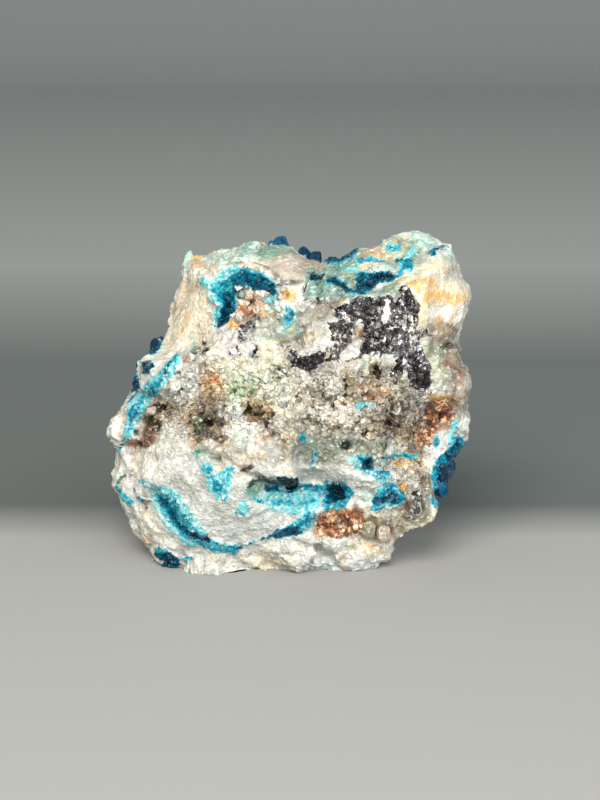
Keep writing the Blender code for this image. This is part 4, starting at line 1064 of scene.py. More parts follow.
ARC_BLUE = (
    *blues(Blue.PALE, line((-5.3, 17.8), (-4.7, 17.3), (-4.6, 16.6), reach=0.24, soft=0.4),
           line((-4.5, 17.9), (-3.7, 18.3), (-3.2, 18.6), reach=0.24, soft=0.4),
           line((-1.3, 16.6), (-0.7, 16.8), reach=0.22)),
    *blues(Blue.CYAN,
           field_of((-3.4, 18.45), (-2.7, 18.65), (-1.8, 18.5), (-1.4, 18.15), (-0.9, 17.9), (-0.6, 17.2), (-0.75, 16.85),
                    (-1.1, 17.15), (-1.5, 17.4), (-2.2, 17.5), (-2.9, 17.4), (-3.15, 17.0), (-3.15, 16.4), (-3.2, 15.85),
                    (-3.85, 15.3), (-4.5, 14.95), (-4.6, 15.7), (-4.4, 16.3), (-4.75, 17.05), (-5.0, 17.65),
                    (-4.25, 17.8), (-3.65, 18.0), soft=0.25)),
    *blues(Blue.ROYAL,
           field_of((-3.3, 18.2), (-2.6, 18.4), (-1.9, 18.25), (-1.4, 18.0), (-1.0, 17.8), (-0.7, 17.2), (-0.9, 17.0),
                    (-1.4, 17.35), (-2.2, 17.5), (-2.9, 17.4), (-3.15, 17.0), (-3.15, 16.4), (-3.2, 15.85), (-3.85, 15.3),
                    (-4.4, 15.0), (-4.3, 15.8), (-4.1, 16.4), (-4.1, 16.8), (-3.5, 17.05), (-3.3, 17.6), soft=0.2)),
    *blues(Blue.DEEP,
           field_of((-2.9, 17.8), (-2.2, 18.0), (-1.5, 17.8), (-0.9, 17.75), (-0.6, 17.1), (-1.0, 17.0), (-1.4, 17.3), (-2.2, 17.45), soft=0.2),
           field_of((-4.1, 16.4), (-3.7, 16.6), (-3.2, 16.2), (-3.2, 15.9), (-3.8, 15.2), (-4.5, 14.85), (-4.3, 15.6), soft=0.15)),
    *blues(Blue.NIGHT, line((-3.8, 16.4), (-3.6, 15.9), reach=0.14, soft=0.3), line((-4.35, 15.05), (-3.95, 15.35), reach=0.06),
           line((-2.4, 17.65), (-1.4, 17.55), reach=0.05)),
)
RIDGE_BLUE = (
    *blues(Blue.PALE, line((3.4, 18.4), (4.2, 18.5), reach=0.12, soft=0.4), line((6.9, 19.2), (7.7, 19.6), reach=0.16, soft=0.4)),
    *blues(Blue.CYAN, line((6.2, 17.8), (7.0, 18.15), reach=0.12), line((4.3, 18.25), (5.2, 18.42), reach=0.06),
           field_of((6.75, 18.15), (6.9, 19.1), (7.6, 19.2), (7.65, 18.4), soft=0.2), line((2.3, 17.65), (2.9, 17.95), (3.6, 17.6), reach=0.08),
           line((4.0, 17.75), (5.0, 18.3), (6.3, 18.25), reach=0.07)),
    *blues(Blue.ROYAL, field_of((6.8, 18.3), (6.95, 19.1), (7.55, 19.1), (7.6, 18.5)), line((5.6, 17.9), (6.4, 18.05), reach=0.14),
           line((2.5, 17.65), (3.4, 17.6), reach=0.08)),
    *blues(Blue.DEEP, field_of((4.2, 17.15), (4.2, 17.9), (4.6, 18.35), (5.3, 18.2), (6.3, 18.35), (6.8, 18.0), (6.3, 17.65), (5.6, 17.75),
                               (5.1, 17.25), (4.6, 17.0), soft=0.2),
           field_of((2.4, 17.9), (3.0, 17.85), (3.6, 17.6), (3.4, 17.4), (2.6, 17.6), soft=0.12),
           line((3.4, 17.3), (4.0, 17.05), (4.7, 17.0), reach=0.15), line((6.6, 19.2), (7.0, 19.2), reach=0.1)),
    *blues(Blue.NIGHT, line((4.4, 17.6), (5.0, 17.9), (6.0, 18.0), reach=0.1, soft=0.3)),
)
SKYLINE_BLUE = (
    *blues(Blue.CYAN, line((4.2, 19.0), (5.0, 18.95), reach=0.15), line((5.2, 18.95), (5.8, 18.95), reach=0.12),
           line((6.0, 19.85), (6.8, 19.85), reach=0.12), field_of((-0.45, 14.8), (-0.3, 15.5), (-0.1, 16.2), (0.15, 16.0), (0.5, 15.7), (0.2, 15.2), (-0.05, 14.9), soft=0.25),
           line((3.2, 18.8), (3.8, 19.15), reach=0.12)),
    *blues(Blue.ROYAL, dab(0.1, 15.6, 0.2, 0.3), dab(8.7, 19.5, 0.26)),
    *blues(Blue.DEEP, line((2.4, 18.9), (3.3, 19.0), (3.8, 19.3), (4.2, 19.65), reach=0.17), line((5.5, 20.1), (6.1, 20.3), reach=0.12),
           dab(8.75, 19.45, 0.14), line((8.8, 19.6), (9.6, 19.85), reach=0.07)),
    *blues(Blue.NIGHT, field_of((1.2, 17.75), (1.25, 18.05), (1.7, 18.25), (2.2, 18.4), (2.25, 18.15), (1.85, 17.8), soft=0.1)),
)
VUG_BLUE = (
    *blues(Blue.PALE, field_of((-1.5, 4.9), (-0.6, 5.2), (0.8, 5.3), (2.0, 5.2), (2.0, 3.9), (1.5, 3.3), (0.4, 3.3),
                               (-0.7, 3.6), (-1.5, 4.0), soft=0.6)),
    *blues(Blue.CYAN, line((-2.0, 4.4), (-1.6, 4.2), reach=0.14), line((-0.9, 4.1), (0.4, 4.0), (1.7, 4.3), reach=0.26, soft=0.4),
           field_of((2.1, 5.4), (2.15, 3.5), (2.7, 3.4), (3.5, 3.9), (4.15, 4.85), (3.2, 5.5), soft=0.14),
           line((-0.7, 5.0), (-0.2, 4.9), reach=0.14), line((0.5, 5.0), (1.9, 5.1), reach=0.22)),
    *blues(Blue.ROYAL, line((0.8, 5.2), (1.8, 5.2), reach=0.12), field_of((2.15, 5.3), (2.25, 4.0), (2.9, 3.8), (3.6, 4.3), (4.0, 4.9), (3.1, 5.4))),
    *blues(Blue.DEEP, line((-1.3, 5.1), (-0.7, 5.2), reach=0.13), field_of((2.15, 5.3), (2.4, 4.3), (3.3, 4.2), (3.9, 4.9), (3.1, 5.35))),
    *blues(Blue.NIGHT, field_of((-0.8, 5.85), (0.45, 5.7), (0.65, 5.1), (0.1, 4.75), (-0.3, 5.2), soft=0.12),
           field_of((2.15, 5.3), (3.0, 5.4), (3.75, 4.95), (3.3, 4.7), (2.5, 4.9), soft=0.15), dab(2.9, 4.3, 0.07, 0.1)),
)
STRIPE_BLUE = (
    *blues(Blue.PALE, field_of((-6.7, 13.05), (-7.3, 12.75), (-7.9, 12.05), (-8.6, 11.5), (-8.9, 11.0), (-9.3, 10.4), (-9.75, 9.9),
                               (-9.95, 9.4), (-9.95, 8.8), (-10.05, 8.3), (-9.85, 8.2), (-9.6, 8.7), (-9.2, 9.3), (-8.8, 9.9),
                               (-8.4, 10.4), (-8.0, 11.2), (-7.5, 11.8), (-6.8, 12.6), reach=0.1, soft=0.16)),
    *blues(Blue.CYAN, line((-6.9, 12.9), (-7.6, 12.2), (-8.2, 11.4), (-8.7, 10.7), (-9.2, 10.0), (-9.6, 9.3), (-9.9, 8.6),
                           reach=0.24, soft=0.24), line((-10.05, 8.2), (-10.3, 7.8), (-10.45, 7.35), reach=0.1)),
    *blues(Blue.ROYAL, line((-7.2, 12.7), (-7.8, 11.8), (-8.3, 11.1), reach=0.09), line((-9.4, 10.1), (-9.75, 9.5), (-9.85, 8.8), reach=0.07),
           dab(-9.3, 11.3, 0.2)),
    *blues(Blue.DEEP, line((-8.0, 11.4), (-8.25, 11.0), reach=0.06), line((-9.4, 11.8), (-9.1, 11.2), reach=0.16),
           line((-9.3, 11.1), (-9.6, 10.6), (-9.9, 10.3), reach=0.09), line((-10.2, 8.1), (-10.35, 7.7), reach=0.05),
           field_of((-9.05, 12.0), (-8.9, 12.7), (-8.3, 12.9), (-8.25, 12.5), (-8.6, 11.9), soft=0.12), line((-8.5, 13.4), (-7.9, 14.0), reach=0.24)),
)
SEAM_BLUE = (
    *blues(Blue.PALE, line((-8.9, 5.5), (-8.5, 5.2), (-8.1, 4.8), reach=0.14, soft=0.3),
           line((-7.7, 4.4), (-7.2, 3.8), (-6.7, 3.1), (-6.0, 2.3), reach=0.78, soft=0.5)),
    *blues(Blue.CYAN, line((-7.9, 4.8), (-7.6, 4.4), (-7.0, 3.9), (-6.2, 2.8), (-5.4, 2.0), reach=0.4, soft=0.5),
           line((-6.0, 2.2), (-5.2, 1.8), (-4.4, 1.5), (-3.4, 1.4), reach=0.3)),
    *blues(Blue.ROYAL, line((-7.9, 4.6), (-7.5, 4.1), (-6.9, 3.2), (-6.2, 2.4), reach=0.26, soft=0.7)),
    *blues(Blue.DEEP, line((-7.7, 4.3), (-7.3, 3.7), (-6.8, 2.9), (-6.2, 2.2), reach=0.24, soft=0.6),
           line((-3.6, 1.4), (-2.9, 1.5), reach=0.06), line((-2.6, 1.6), (-1.9, 1.8), reach=0.05), line((-1.6, 1.95), (-0.7, 2.2), reach=0.08)),
    *blues(Blue.NIGHT, line((-6.0, 2.3), (-5.4, 2.05), (-5.0, 1.9), reach=0.14, soft=0.2)),
)
FOOT_BLUE = (
    *blues(Blue.DEEP, line((-8.0, 1.1), (-7.4, 0.9), (-6.8, 0.6), reach=0.25), line((-7.5, 0.45), (-6.8, 0.3), reach=0.2)),
    *blues(Blue.CYAN, line((-6.3, 0.7), (-5.9, 0.85), reach=0.15), line((-8.2, 1.4), (-7.6, 1.3), reach=0.1)),
)
SIDE_BLUE = blues(Blue.AZURE, field_of((9.9, 8.3), (10.8, 8.2), (10.4, 7.3), (10.3, 6.6), (10.05, 6.0), (10.1, 5.3), (9.7, 5.0),
                                        (9.2, 4.6), (8.9, 5.0), (8.8, 5.6), (9.0, 6.7), (9.6, 7.2), (10.0, 7.7)))
SPRINKLED_BLUE = (
    *blues(Blue.PALE, field_of((-5.3, 6.6), (-4.5, 6.0), (-3.7, 6.5), (-3.4, 5.2), (-4.2, 4.4), (-5.0, 4.9), soft=0.4),
           line((3.9, 6.6), (5.4, 5.8), (6.4, 5.6), reach=0.3, soft=0.6), field_of((5.3, 3.8), (5.3, 5.3), (6.8, 5.0), (6.7, 3.7), soft=0.5),
           line((5.9, 7.0), (7.8, 7.0), reach=0.3, soft=0.4), line((10.0, 7.8), (10.25, 9.2), reach=0.2, soft=0.3), dab(-2.7, 3.7, 0.4, 0.5)),
    *blues(Blue.CYAN, line((-5.1, 6.4), (-4.7, 5.6), (-4.3, 5.1), (-3.9, 5.6), (-3.6, 6.2), reach=0.3, soft=0.3), line((-4.4, 5.3), (-4.1, 4.7), reach=0.4, soft=0.4),
           dab(-2.4, 3.9, 0.14), dab(-3.2, 3.5, 0.12), line((-0.2, 2.3), (0.6, 2.8), (1.3, 3.3), reach=0.34), dab(0.8, 8.1, 0.24),
           line((4.2, 10.0), (5.1, 10.3), reach=0.2), line((1.6, 7.1), (1.3, 6.4), reach=0.08),
           field_of((8.8, 7.8), (9.1, 8.4), (9.3, 8.0), (9.0, 7.4), soft=0.12), line((10.2, 8.0), (10.3, 8.9), reach=0.1),
           line((5.2, 5.8), (6.0, 6.0), reach=0.22), line((5.6, 4.4), (5.9, 5.1), (6.6, 4.6), reach=0.5),
           line((8.8, 4.4), (9.2, 3.9), reach=0.14), line((-10.5, 5.0), (-9.7, 4.2), reach=0.17), line((5.2, 3.9), (5.8, 3.9), reach=0.18),
           line((6.1, 7.1), (7.6, 7.05), reach=0.1), line((4.3, 6.9), (5.0, 7.1), reach=0.14)),
    *blues(Blue.ROYAL, line((5.5, 4.3), (6.1, 4.8), (6.5, 4.4), reach=0.34), line((5.3, 6.0), (5.9, 6.1), reach=0.1), line((6.4, 6.95), (7.3, 7.0), reach=0.07),
           field_of((4.3, 6.1), (4.4, 7.0), (5.2, 7.0), (5.1, 6.1), soft=0.12)),
    *blues(Blue.DEEP, field_of((4.5, 6.3), (4.6, 6.9), (5.0, 6.9), (5.0, 6.2), soft=0.12), line((-0.7, 2.2), (0.4, 2.45), reach=0.3),
           dab(-9.4, 5.0, 0.1), dab(-9.1, 4.3, 0.1), dab(-8.8, 3.7, 0.1), dab(1.6, 7.15, 0.14), line((5.8, 4.3), (6.3, 4.7), reach=0.2)),
)
BACK_BLUE = blues(Blue.DEEP, field_of((-5.4, 13.4), (-4.0, 11.6), (-2.0, 10.9), (-0.7, 11.7), (-1.1, 13.5), (-2.8, 15.1), (-4.6, 15.1), soft=0.6))


# Stains that follow noise: tint, size in millimetres, seed, least noise that shows and strength
WILD_STAINS = (
    (Tint.CREAM, 4.0, 81, 0.1, 0.8), (Tint.GREY, 3.0, 83, 0.3, 0.7), (Tint.OCHRE, 2.2, 85, 0.5, 0.7),
    (Tint.SAGE, 2.6, 89, 0.6, 0.6), (Tint.RUST, 1.8, 87, 0.7, 0.7), (Tint.BROWN, 1.2, 91, 0.85, 0.7),
    (Tint.MINT, 2.0, 93, 0.7, 0.6),
)
FAINT_STAINS = (
    (Tint.GREY, 1.3, 141, 0.25, 0.6), (Tint.SLATE, 0.6, 143, 0.55, 0.45), (Tint.CREAM, 1.6, 145, 0.25, 0.6),
    (Tint.OCHRE, 0.8, 147, 0.6, 0.45), (Tint.MINT, 1.1, 149, 0.55, 0.5), (Tint.PEACH, 0.9, 151, 0.65, 0.4),
    (Tint.WHITE, 0.7, 153, 0.45, 0.8), (Tint.HAZEL, 0.45, 155, 0.7, 0.5),
)

# The sulphide's shades: dull dark folds, brighter silvery faces, and white spots that are painted glints
METAL_SHADES_AND_GLINTS = (
    Stain(Tint.LEAD, 0.8, (
        line((3.9, 16.5), (5.4, 16.45), (6.2, 16.7), reach=0.2), field_of((5.1, 13.5), (5.4, 14.2), (6.4, 14.2), (6.4, 13.4), soft=0.3),
        field_of((7.4, 11.0), (7.5, 12.6), (8.4, 12.4), (8.7, 11.4), soft=0.4), field_of((0.2, 12.3), (0.4, 13.1), (1.4, 13.0), (1.7, 12.4)),
        line((6.4, 13.2), (6.7, 12.4), reach=0.2), line((2.4, 15.5), (3.1, 15.8), reach=0.1), line((6.6, 16.3), (6.9, 17.2), reach=0.1),
        line((5.0, 15.6), (5.6, 14.6), (6.2, 15.2), reach=0.12), line((4.6, 13.4), (4.8, 14.4), reach=0.12),
    )),
    Stain(Tint.OLIVE, 0.6, (
        field_of((2.3, 15.0), (3.9, 15.0), (3.9, 13.8), (3.2, 12.9), (2.3, 12.9), soft=0.3), line((7.6, 16.8), (7.9, 16.2), (7.9, 15.2), reach=0.2),
        line((7.8, 14.7), (8.4, 14.3), reach=0.25),
    )),
    Stain(Tint.SILVER_GLINT, 0.5, (
        field_of((2.4, 15.2), (2.6, 16.1), (3.4, 16.3), (4.0, 15.8), (3.4, 15.0), soft=0.3), line((2.5, 14.7), (2.7, 13.8), (3.2, 13.3), reach=0.14),
        field_of((6.2, 14.0), (6.2, 15.0), (7.0, 15.0), (7.0, 14.1), soft=0.3), line((4.6, 16.2), (5.5, 15.9), reach=0.15, soft=0.3),
    )),
    # Painted glints: white spots where the sulphide catches the light
    Stain(Tint.SILVER_GLINT, 1.0, (
        dab(7.45, 13.85, 0.17, 0.08), dab(7.75, 13.55, 0.2, 0.08), dab(8.3, 12.55, 0.12, 0.08), dab(8.2, 13.0, 0.1, 0.08),
        dab(3.25, 16.3, 0.1, 0.08), dab(3.55, 15.8, 0.13, 0.08), dab(4.15, 16.2, 0.11, 0.08), line((4.75, 15.95), (5.0, 15.8), reach=0.07),
        dab(5.1, 15.05, 0.09, 0.08), dab(4.95, 14.85, 0.09, 0.08), dab(6.9, 16.9, 0.08, 0.08), dab(6.85, 16.5, 0.1, 0.08),
        line((6.3, 14.9), (6.4, 14.4), reach=0.12), line((6.5, 14.2), (6.7, 13.9), reach=0.1), line((6.9, 14.6), (6.95, 14.2), reach=0.08),
        line((6.5, 15.3), (6.55, 15.0), reach=0.08), dab(6.8, 13.4, 0.09, 0.08), line((7.1, 13.3), (7.15, 13.0), reach=0.08),
        dab(7.45, 13.1, 0.1, 0.08), dab(6.3, 15.4, 0.07, 0.08), dab(1.3, 12.7, 0.1, 0.08), dab(1.7, 12.95, 0.1, 0.08),
        line((6.9, 16.2), (7.3, 15.9), reach=0.05), line((7.2, 16.9), (7.5, 16.5), reach=0.05), dab(-2.9, 14.75, 0.08, 0.08),
        line((4.3, 15.4), (4.6, 15.2), reach=0.06), line((2.9, 15.2), (3.3, 15.5), reach=0.08), dab(5.35, 13.75, 0.07, 0.08),
    )),
)

# How much brighter veszelyite is at the edge of a patch
EDGE_LIGHTENING = 0.6

# Sulphide, and the bits of quartz that show between it
SULPHIDE = (
    field_of((2.4, 15.6), (2.9, 15.8), (3.0, 16.2), (3.6, 16.4), (3.9, 16.65), (4.8, 16.75), (5.4, 16.6), (5.8, 16.85),
             (6.3, 16.95), (6.5, 16.5), (6.7, 16.75), (6.8, 17.15), (7.05, 17.45), (7.3, 17.4), (7.5, 17.1), (7.8, 16.7),
             (8.0, 16.2), (8.02, 15.4), (7.9, 15.0), (7.4, 14.9), (7.25, 14.6), (7.5, 14.2), (8.0, 13.85), (8.3, 13.4),
             (8.5, 13.0), (8.75, 12.6), (8.5, 12.2), (8.7, 11.5), (8.3, 10.9), (7.8, 10.9), (7.5, 11.5), (7.4, 12.2),
             (7.0, 12.4), (6.6, 12.1), (6.3, 11.7), (6.2, 12.0), (6.5, 12.6), (6.6, 13.2), (6.4, 13.4), (5.8, 13.3),
             (5.6, 13.1), (5.2, 13.5), (4.9, 13.3), (4.6, 13.1), (4.4, 13.6), (4.6, 14.6), (4.5, 15.0), (3.9, 14.9),
             (3.3, 14.6), (3.0, 14.8), (2.5, 14.8), (2.4, 15.1), soft=0.12),
    field_of((-0.1, 13.2), (0.3, 13.4), (0.8, 13.1), (1.3, 13.1), (1.7, 13.3), (2.2, 13.3), (2.3, 12.8), (1.7, 12.3), (1.3, 12.0),
             (0.9, 12.2), (0.4, 12.3), (0.1, 12.8), soft=0.15),
    field_of((2.35, 14.9), (3.2, 14.9), (3.75, 14.6), (3.7, 14.0), (3.3, 13.6), (3.1, 13.1), (2.4, 12.8), (2.2, 13.4), (2.5, 14.1), soft=0.3),
    line((-0.6, 13.8), (-0.2, 13.5), (0.1, 13.7), reach=0.05), line((-0.7, 12.4), (-0.3, 12.1), (0.2, 12.5), reach=0.05),
    line((0.2, 13.4), (0.0, 13.1), reach=0.05), line((1.0, 17.1), (1.1, 17.7), (1.4, 18.0), reach=0.05), line((1.9, 16.6), (2.4, 16.4), (2.9, 15.9), reach=0.06),
    line((1.1, 16.65), (1.6, 16.75), (1.9, 16.6), reach=0.1), line((1.0, 12.0), (1.3, 11.8), reach=0.08),
    line((3.1, 13.5), (3.6, 14.0), reach=0.06), line((2.6, 12.85), (3.6, 12.95), (4.6, 13.2), (5.4, 13.2), reach=0.06),
    line((-2.3, 15.4), (-3.0, 14.9), reach=0.1), line((-3.0, 14.8), (-3.3, 13.9), (-3.0, 13.2), reach=0.07),
    line((-3.0, 13.2), (-2.2, 13.2), (-2.0, 13.7), (-2.4, 14.2), (-3.0, 14.3), reach=0.06), ring(-3.35, 13.5, 0.28, 0.3, 0.05),
    line((-2.9, 14.45), (-2.5, 14.9), reach=0.1), ring(-2.05, 13.4, 0.22, 0.28, 0.05), line((7.74, 4.8), (7.86, 3.7), reach=0.2),
    line((7.5, 14.5), (8.2, 14.4), (8.6, 14.3), reach=0.12), line((7.9, 14.1), (8.3, 14.4), (8.5, 14.8), reach=0.12),
    line((7.8, 14.9), (8.2, 14.6), reach=0.08),
)
SULPHIDE_GAPS = (
    line((5.85, 15.3), (5.95, 15.8), (6.05, 16.55), reach=0.19), line((7.05, 14.9), (7.2, 15.5), reach=0.17), dab(4.2, 15.7, 0.2, 0.1),
    line((2.7, 14.3), (3.0, 13.9), reach=0.07, soft=0.1), line((3.2, 14.6), (3.4, 14.2), reach=0.06, soft=0.1), dab(2.5, 13.3, 0.1, 0.1),
    line((1.0, 13.2), (1.5, 13.4), reach=0.1), line((4.3, 15.2), (4.0, 14.9), reach=0.1), line((3.1, 15.5), (3.4, 15.6), reach=0.05, soft=0.1),
    dab(5.4, 15.4, 0.12, 0.1), dab(5.5, 16.1, 0.13, 0.1), dab(3.15, 15.15, 0.08, 0.1), dab(6.45, 12.9, 0.12, 0.1),
    line((7.1, 12.9), (7.5, 12.4), reach=0.06), line((7.6, 15.6), (7.7, 15.1), reach=0.1), dab(5.2, 13.95, 0.08, 0.1),
)


@dataclass
class Surface:
    """The rock's finished surface, one row to a vertex.

    Attributes:
        seen: rows of u, d, w.
        quads: each face's four corners.
        ahead: how squarely a vertex lies on the front, 1, or back, -1.
        points: rows of x, y, z in metres.
        normals: unit vectors off the surface.
        tint: linear colours of the stained quartz.
        tone: depth of blue of the veszelyite there.
        blue: how much of the surface veszelyite covers.
        metal: how much of it sulphide covers.
        coarse: how coarse the broken surface is.
        grit: how gritty the surface is, which sets how much dark brown lies between the grains and in the pits.
        pit: how far a vertex lies in a small pit, from 0 to 1.
    """

    seen: np.ndarray
    quads: np.ndarray
    ahead: np.ndarray
    points: np.ndarray = field(init=False)
    normals: np.ndarray = field(init=False)
    tint: np.ndarray = field(init=False)
    tone: np.ndarray = field(init=False)
    blue: np.ndarray = field(init=False)
    metal: np.ndarray = field(init=False)
    coarse: np.ndarray = field(init=False)
    grit: np.ndarray = field(init=False)
    pit: np.ndarray = field(init=False)

    @staticmethod
    def ball(cuts: int) -> tuple[np.ndarray, np.ndarray]:
        """A ball made of six curved square grids, joined along their seams.

        Each grid is the tangent of two even angles, pushed out onto the unit sphere.

        Args:
            cuts: squares along each side of a grid.

        Returns:
            Unit vectors, and each square's four corners.
        """
        steps = np.tan(np.linspace(-math.pi / 4.0, math.pi / 4.0, cuts + 1))
        a, b = np.meshgrid(steps, steps, indexing="ij")
        one = np.ones_like(a)
        sides = ((one, a, b), (-one, b, a), (b, one, a), (a, -one, b), (a, b, one), (b, a, -one))
        grid = np.arange((cuts + 1) ** 2).reshape(cuts + 1, cuts + 1)
        square = np.stack([grid[:-1, :-1], grid[1:, :-1], grid[1:, 1:], grid[:-1, 1:]], axis=-1).reshape(-1, 4)
        points = np.concatenate([np.stack(side, axis=-1).reshape(-1, 3) for side in sides])
        quads = np.concatenate([square + k * (cuts + 1) ** 2 for k in range(6)])
        points /= np.linalg.norm(points, axis=1, keepdims=True)
        _, first, joined = np.unique(points.round(6), axis=0, return_index=True, return_inverse=True)
        return points[first], joined.reshape(-1)[quads]

    @classmethod
    def of_rock(cls, cuts: int) -> "Surface":
        """Build the rock's surface with all its relief and stains.

        Args:
            cuts: squares along each side of the ball's grids.

        Returns:
            The surface.
        """
        directions, quads = cls.ball(cuts)
        seen, ahead = ROCK.surface(directions)
        surface = cls(seen, quads, ahead)
        surface.relax(8)
        surface.lay_minerals()
        surface.roughen()
        surface.points = VIEW.world(surface.seen)
        surface.points[:, 2] = np.maximum(surface.points[:, 2], 0.0)
        surface.normals = surface.vertex_normals(surface.points)
        surface.stain()
        return surface

    def vertex_normals(self, points: np.ndarray) -> np.ndarray:
        """Average direction off the faces around each vertex.

        Args:
            points: the vertices' places.

        Returns:
            Unit vectors that point off the rock.
        """
        a, b, c, d = (points[self.quads[:, k]] for k in range(4))
        faces = np.cross(c - a, d - b)
        total = np.zeros_like(points)
        for corner in range(4):
            for axis in range(3):
                total[:, axis] += np.bincount(self.quads[:, corner], faces[:, axis], len(points))
        total /= np.maximum(np.linalg.norm(total, axis=1, keepdims=True), 1e-20)
        offset = points - points.mean(axis=0)
        return total if (total * offset).sum() > 0.0 else -total

    def relax(self, rounds: int):
        """Even out the spacing of vertices, which steep walls would otherwise stretch.

        Each round moves every vertex halfway to the mean middle of the faces around it.

        Args:
            rounds: how many times.
        """
        corners = self.quads.ravel()
        share = np.bincount(corners, minlength=len(self.seen))
        for _ in range(rounds):
            middles = np.repeat(self.seen[self.quads].mean(axis=1), 4, axis=0)
            for axis in range(3):
                mean = np.bincount(corners, middles[:, axis], len(self.seen)) / share
                self.seen[:, axis] = 0.5 * (self.seen[:, axis] + mean)

    def wandered(self, amount: float) -> tuple[np.ndarray, np.ndarray]:
        """Seen places pushed about by noise, which frays the edges of patches.

        Args:
            amount: how far places move, in millimetres.

        Returns:
            The places across and up.
        """
        u = self.seen[:, 0] + amount * fractal_noise(self.seen, 1.3, 3, 101)
        w = self.seen[:, 2] + amount * fractal_noise(self.seen, 1.3, 3, 131)
        return u, w

    def depth_at(self, u: float, w: float) -> float:
        """Depth of the front at a seen point.

        Args:
            u: the point's place across.
            w: the point's place up.

        Returns:
            The depth of the nearest vertex, in millimetres.
        """
        away = np.hypot(self.seen[:, 0] - u, self.seen[:, 2] - w) + 100.0 * (self.ahead < 0.0)
        return float(self.seen[away.argmin(), 1])

    def lay_minerals(self):
        """Find what covers each vertex, and how coarse the rock is there."""
        u, w = self.wandered(0.4)
        front = np.clip(4.0 * self.ahead, 0.0, 1.0)
        smooth = np.max([patch.cover(u, w) for patch in SMOOTH_STRETCHES], axis=0) * np.clip(4.0 * self.ahead + 1.4, 0.0, 1.0)
        coarse = np.max([patch.cover(u, w) for patch in COARSE_STRETCHES], axis=0) * front
        self.coarse = 0.8 - 0.55 * smooth + 0.6 * coarse
        self.grit = np.clip(0.25 - 0.2 * smooth + 0.75 * coarse, 0.0, 1.0)
        u, w = self.wandered(0.16)
        present = np.max([patch.cover(u, w) for patch in SULPHIDE], axis=0)
        absent = np.max([patch.cover(u, w) for patch in SULPHIDE_GAPS], axis=0)
        # Quartz shows through the sulphide in specks, more of them toward its left
        speckled = fractal_noise(self.seen, 0.5, 3, 103) - 0.36 - 0.16 * np.clip(self.seen[:, 0] - 3.0, 0.0, 3.0)
        absent = np.maximum(absent, np.clip(6.0 * speckled, 0.0, 1.0))
        self.metal = present * (1.0 - absent) * (self.ahead > 0.02)
        self.blue, self.tone = self.blue_cover(u, w)

    def roughen(self):
        """Add the small chips, pits, crystals and grains of the broken surface."""
        normals = self.vertex_normals(self.seen)
        chips = cell_chips(self.seen, 1.4, 0.24, 0.05, 41) + cell_chips(self.seen, 0.5, 0.27, 0.05, 43)
        creases = np.abs(fractal_noise(self.seen, 1.1, 4, 47))
        creases = np.clip(1.0 - creases / 0.09, 0.0, 1.0)
        height = np.clip(chips, -0.3, 0.3) * self.coarse - 0.2 * creases * self.grit
        height += 0.05 * fractal_noise(self.seen, 0.4, 2, 49) * (0.4 + self.coarse)
        facets = cell_chips(self.seen, 0.34, 0.5, 0.04, 51)
        height = height * (1.0 - 0.6 * self.blue) + self.blue * (0.1 + np.clip(facets, -0.12, 0.12))
        blocks = cell_chips(self.seen * (1.5, 1.0, 0.7), 0.6, 0.5, 0.03, 53)
        height += self.metal * np.clip(blocks, -0.2, 0.2)
        u, w = self.seen[:, 0], self.seen[:, 2]
        worn = sum(pit.inward(u, w) for pit in PITS) * np.clip(4.0 * self.ahead, 0.0, 1.0)
        self.pit = np.clip(creases * self.grit + np.clip(-height - 0.08, 0.0, 0.3) * 2.0 * self.coarse, 0.0, 1.0)
        self.seen = self.seen + normals * height[:, None]
        self.seen[:, 1] += worn
        self.pit = np.clip(self.pit + 0.8 * worn, 0.0, 1.0) * (1.0 - self.blue)

    def stain(self):
        """Colour the quartz: its own milkiness, the stains of front and back, and dirt and painted shade in its pits.
        """
        u, w = self.wandered(0.3)
        milk = fractal_noise(self.seen, 2.4, 5, 61)[:, None]
        warm = np.clip(fractal_noise(self.seen, 1.7, 4, 63), -0.6, 0.9)[:, None]
        tint = linear(Tint.MILKY.value) + 0.09 * milk + warm * np.array([0.035, 0.01, -0.05])
        wild = self.scattered(tint, WILD_STAINS)
        tint = self.scattered(tint, FAINT_STAINS, np.clip(1.4 * self.coarse, 0.3, 1.0))
        front = np.clip(6.0 * self.ahead + 1.0, 0.0, 1.0)[:, None]
        patchy = np.clip(0.9 + 0.6 * fractal_noise(self.seen, 0.7, 4, 71), 0.35, 1.0)
        patchy = patchy * (1.0 - self.grit * np.clip(0.15 - 1.1 * fractal_noise(self.seen, 0.28, 2, 75), 0.0, 0.7))
        for stain in FRONT_STAINS:
            cover = np.max([patch.cover(u, w) for patch in stain.patches], axis=0)
            share = np.clip(stain.strength * cover * patchy, 0.0, 1.0)[:, None]
            tint = tint * (1.0 - share) + linear(stain.tint.value) * share
        # Painted shade: these fields multiply the colours of the front darker
        for shade in FRONT_PAINTED_SHADE:
            cover = np.max([patch.cover(u, w) for patch in shade.patches], axis=0)
            share = (shade.strength * cover)[:, None]
            tint = tint * (1.0 - share + linear(shade.tint.value) * share)
        tint = tint * front + wild * (1.0 - front)
        # Brown and dark umber in pits and creases, stronger the deeper they lie: partly dirt, partly painted shade
        crumbs = np.clip(0.6 + 2.5 * fractal_noise(self.seen, 0.3, 2, 73), 0.0, 1.0)
        for dark_brown, strength, least in ((Tint.BROWN, 0.8, 0.0), (Tint.UMBER, 0.9, 0.4)):
            share = (strength * np.clip((self.pit - least) / (1.0 - least), 0.0, 1.0) * self.grit * crumbs)[:, None]
            tint = tint * (1.0 - share) + linear(dark_brown.value) * share
        metal = np.tile(linear(Tint.PEWTER.value), (len(u), 1))
        u, w = self.wandered(0.12)
        for stain in METAL_SHADES_AND_GLINTS:
            cover = np.max([patch.cover(u, w) for patch in stain.patches], axis=0)
            share = (stain.strength * cover)[:, None]
            metal = metal * (1.0 - share) + linear(stain.tint.value) * share
        share = np.clip(2.0 * self.metal, 0.0, 1.0)[:, None]
        self.tint = np.clip(tint * (1.0 - share) + metal * share, 0.0, 1.0)

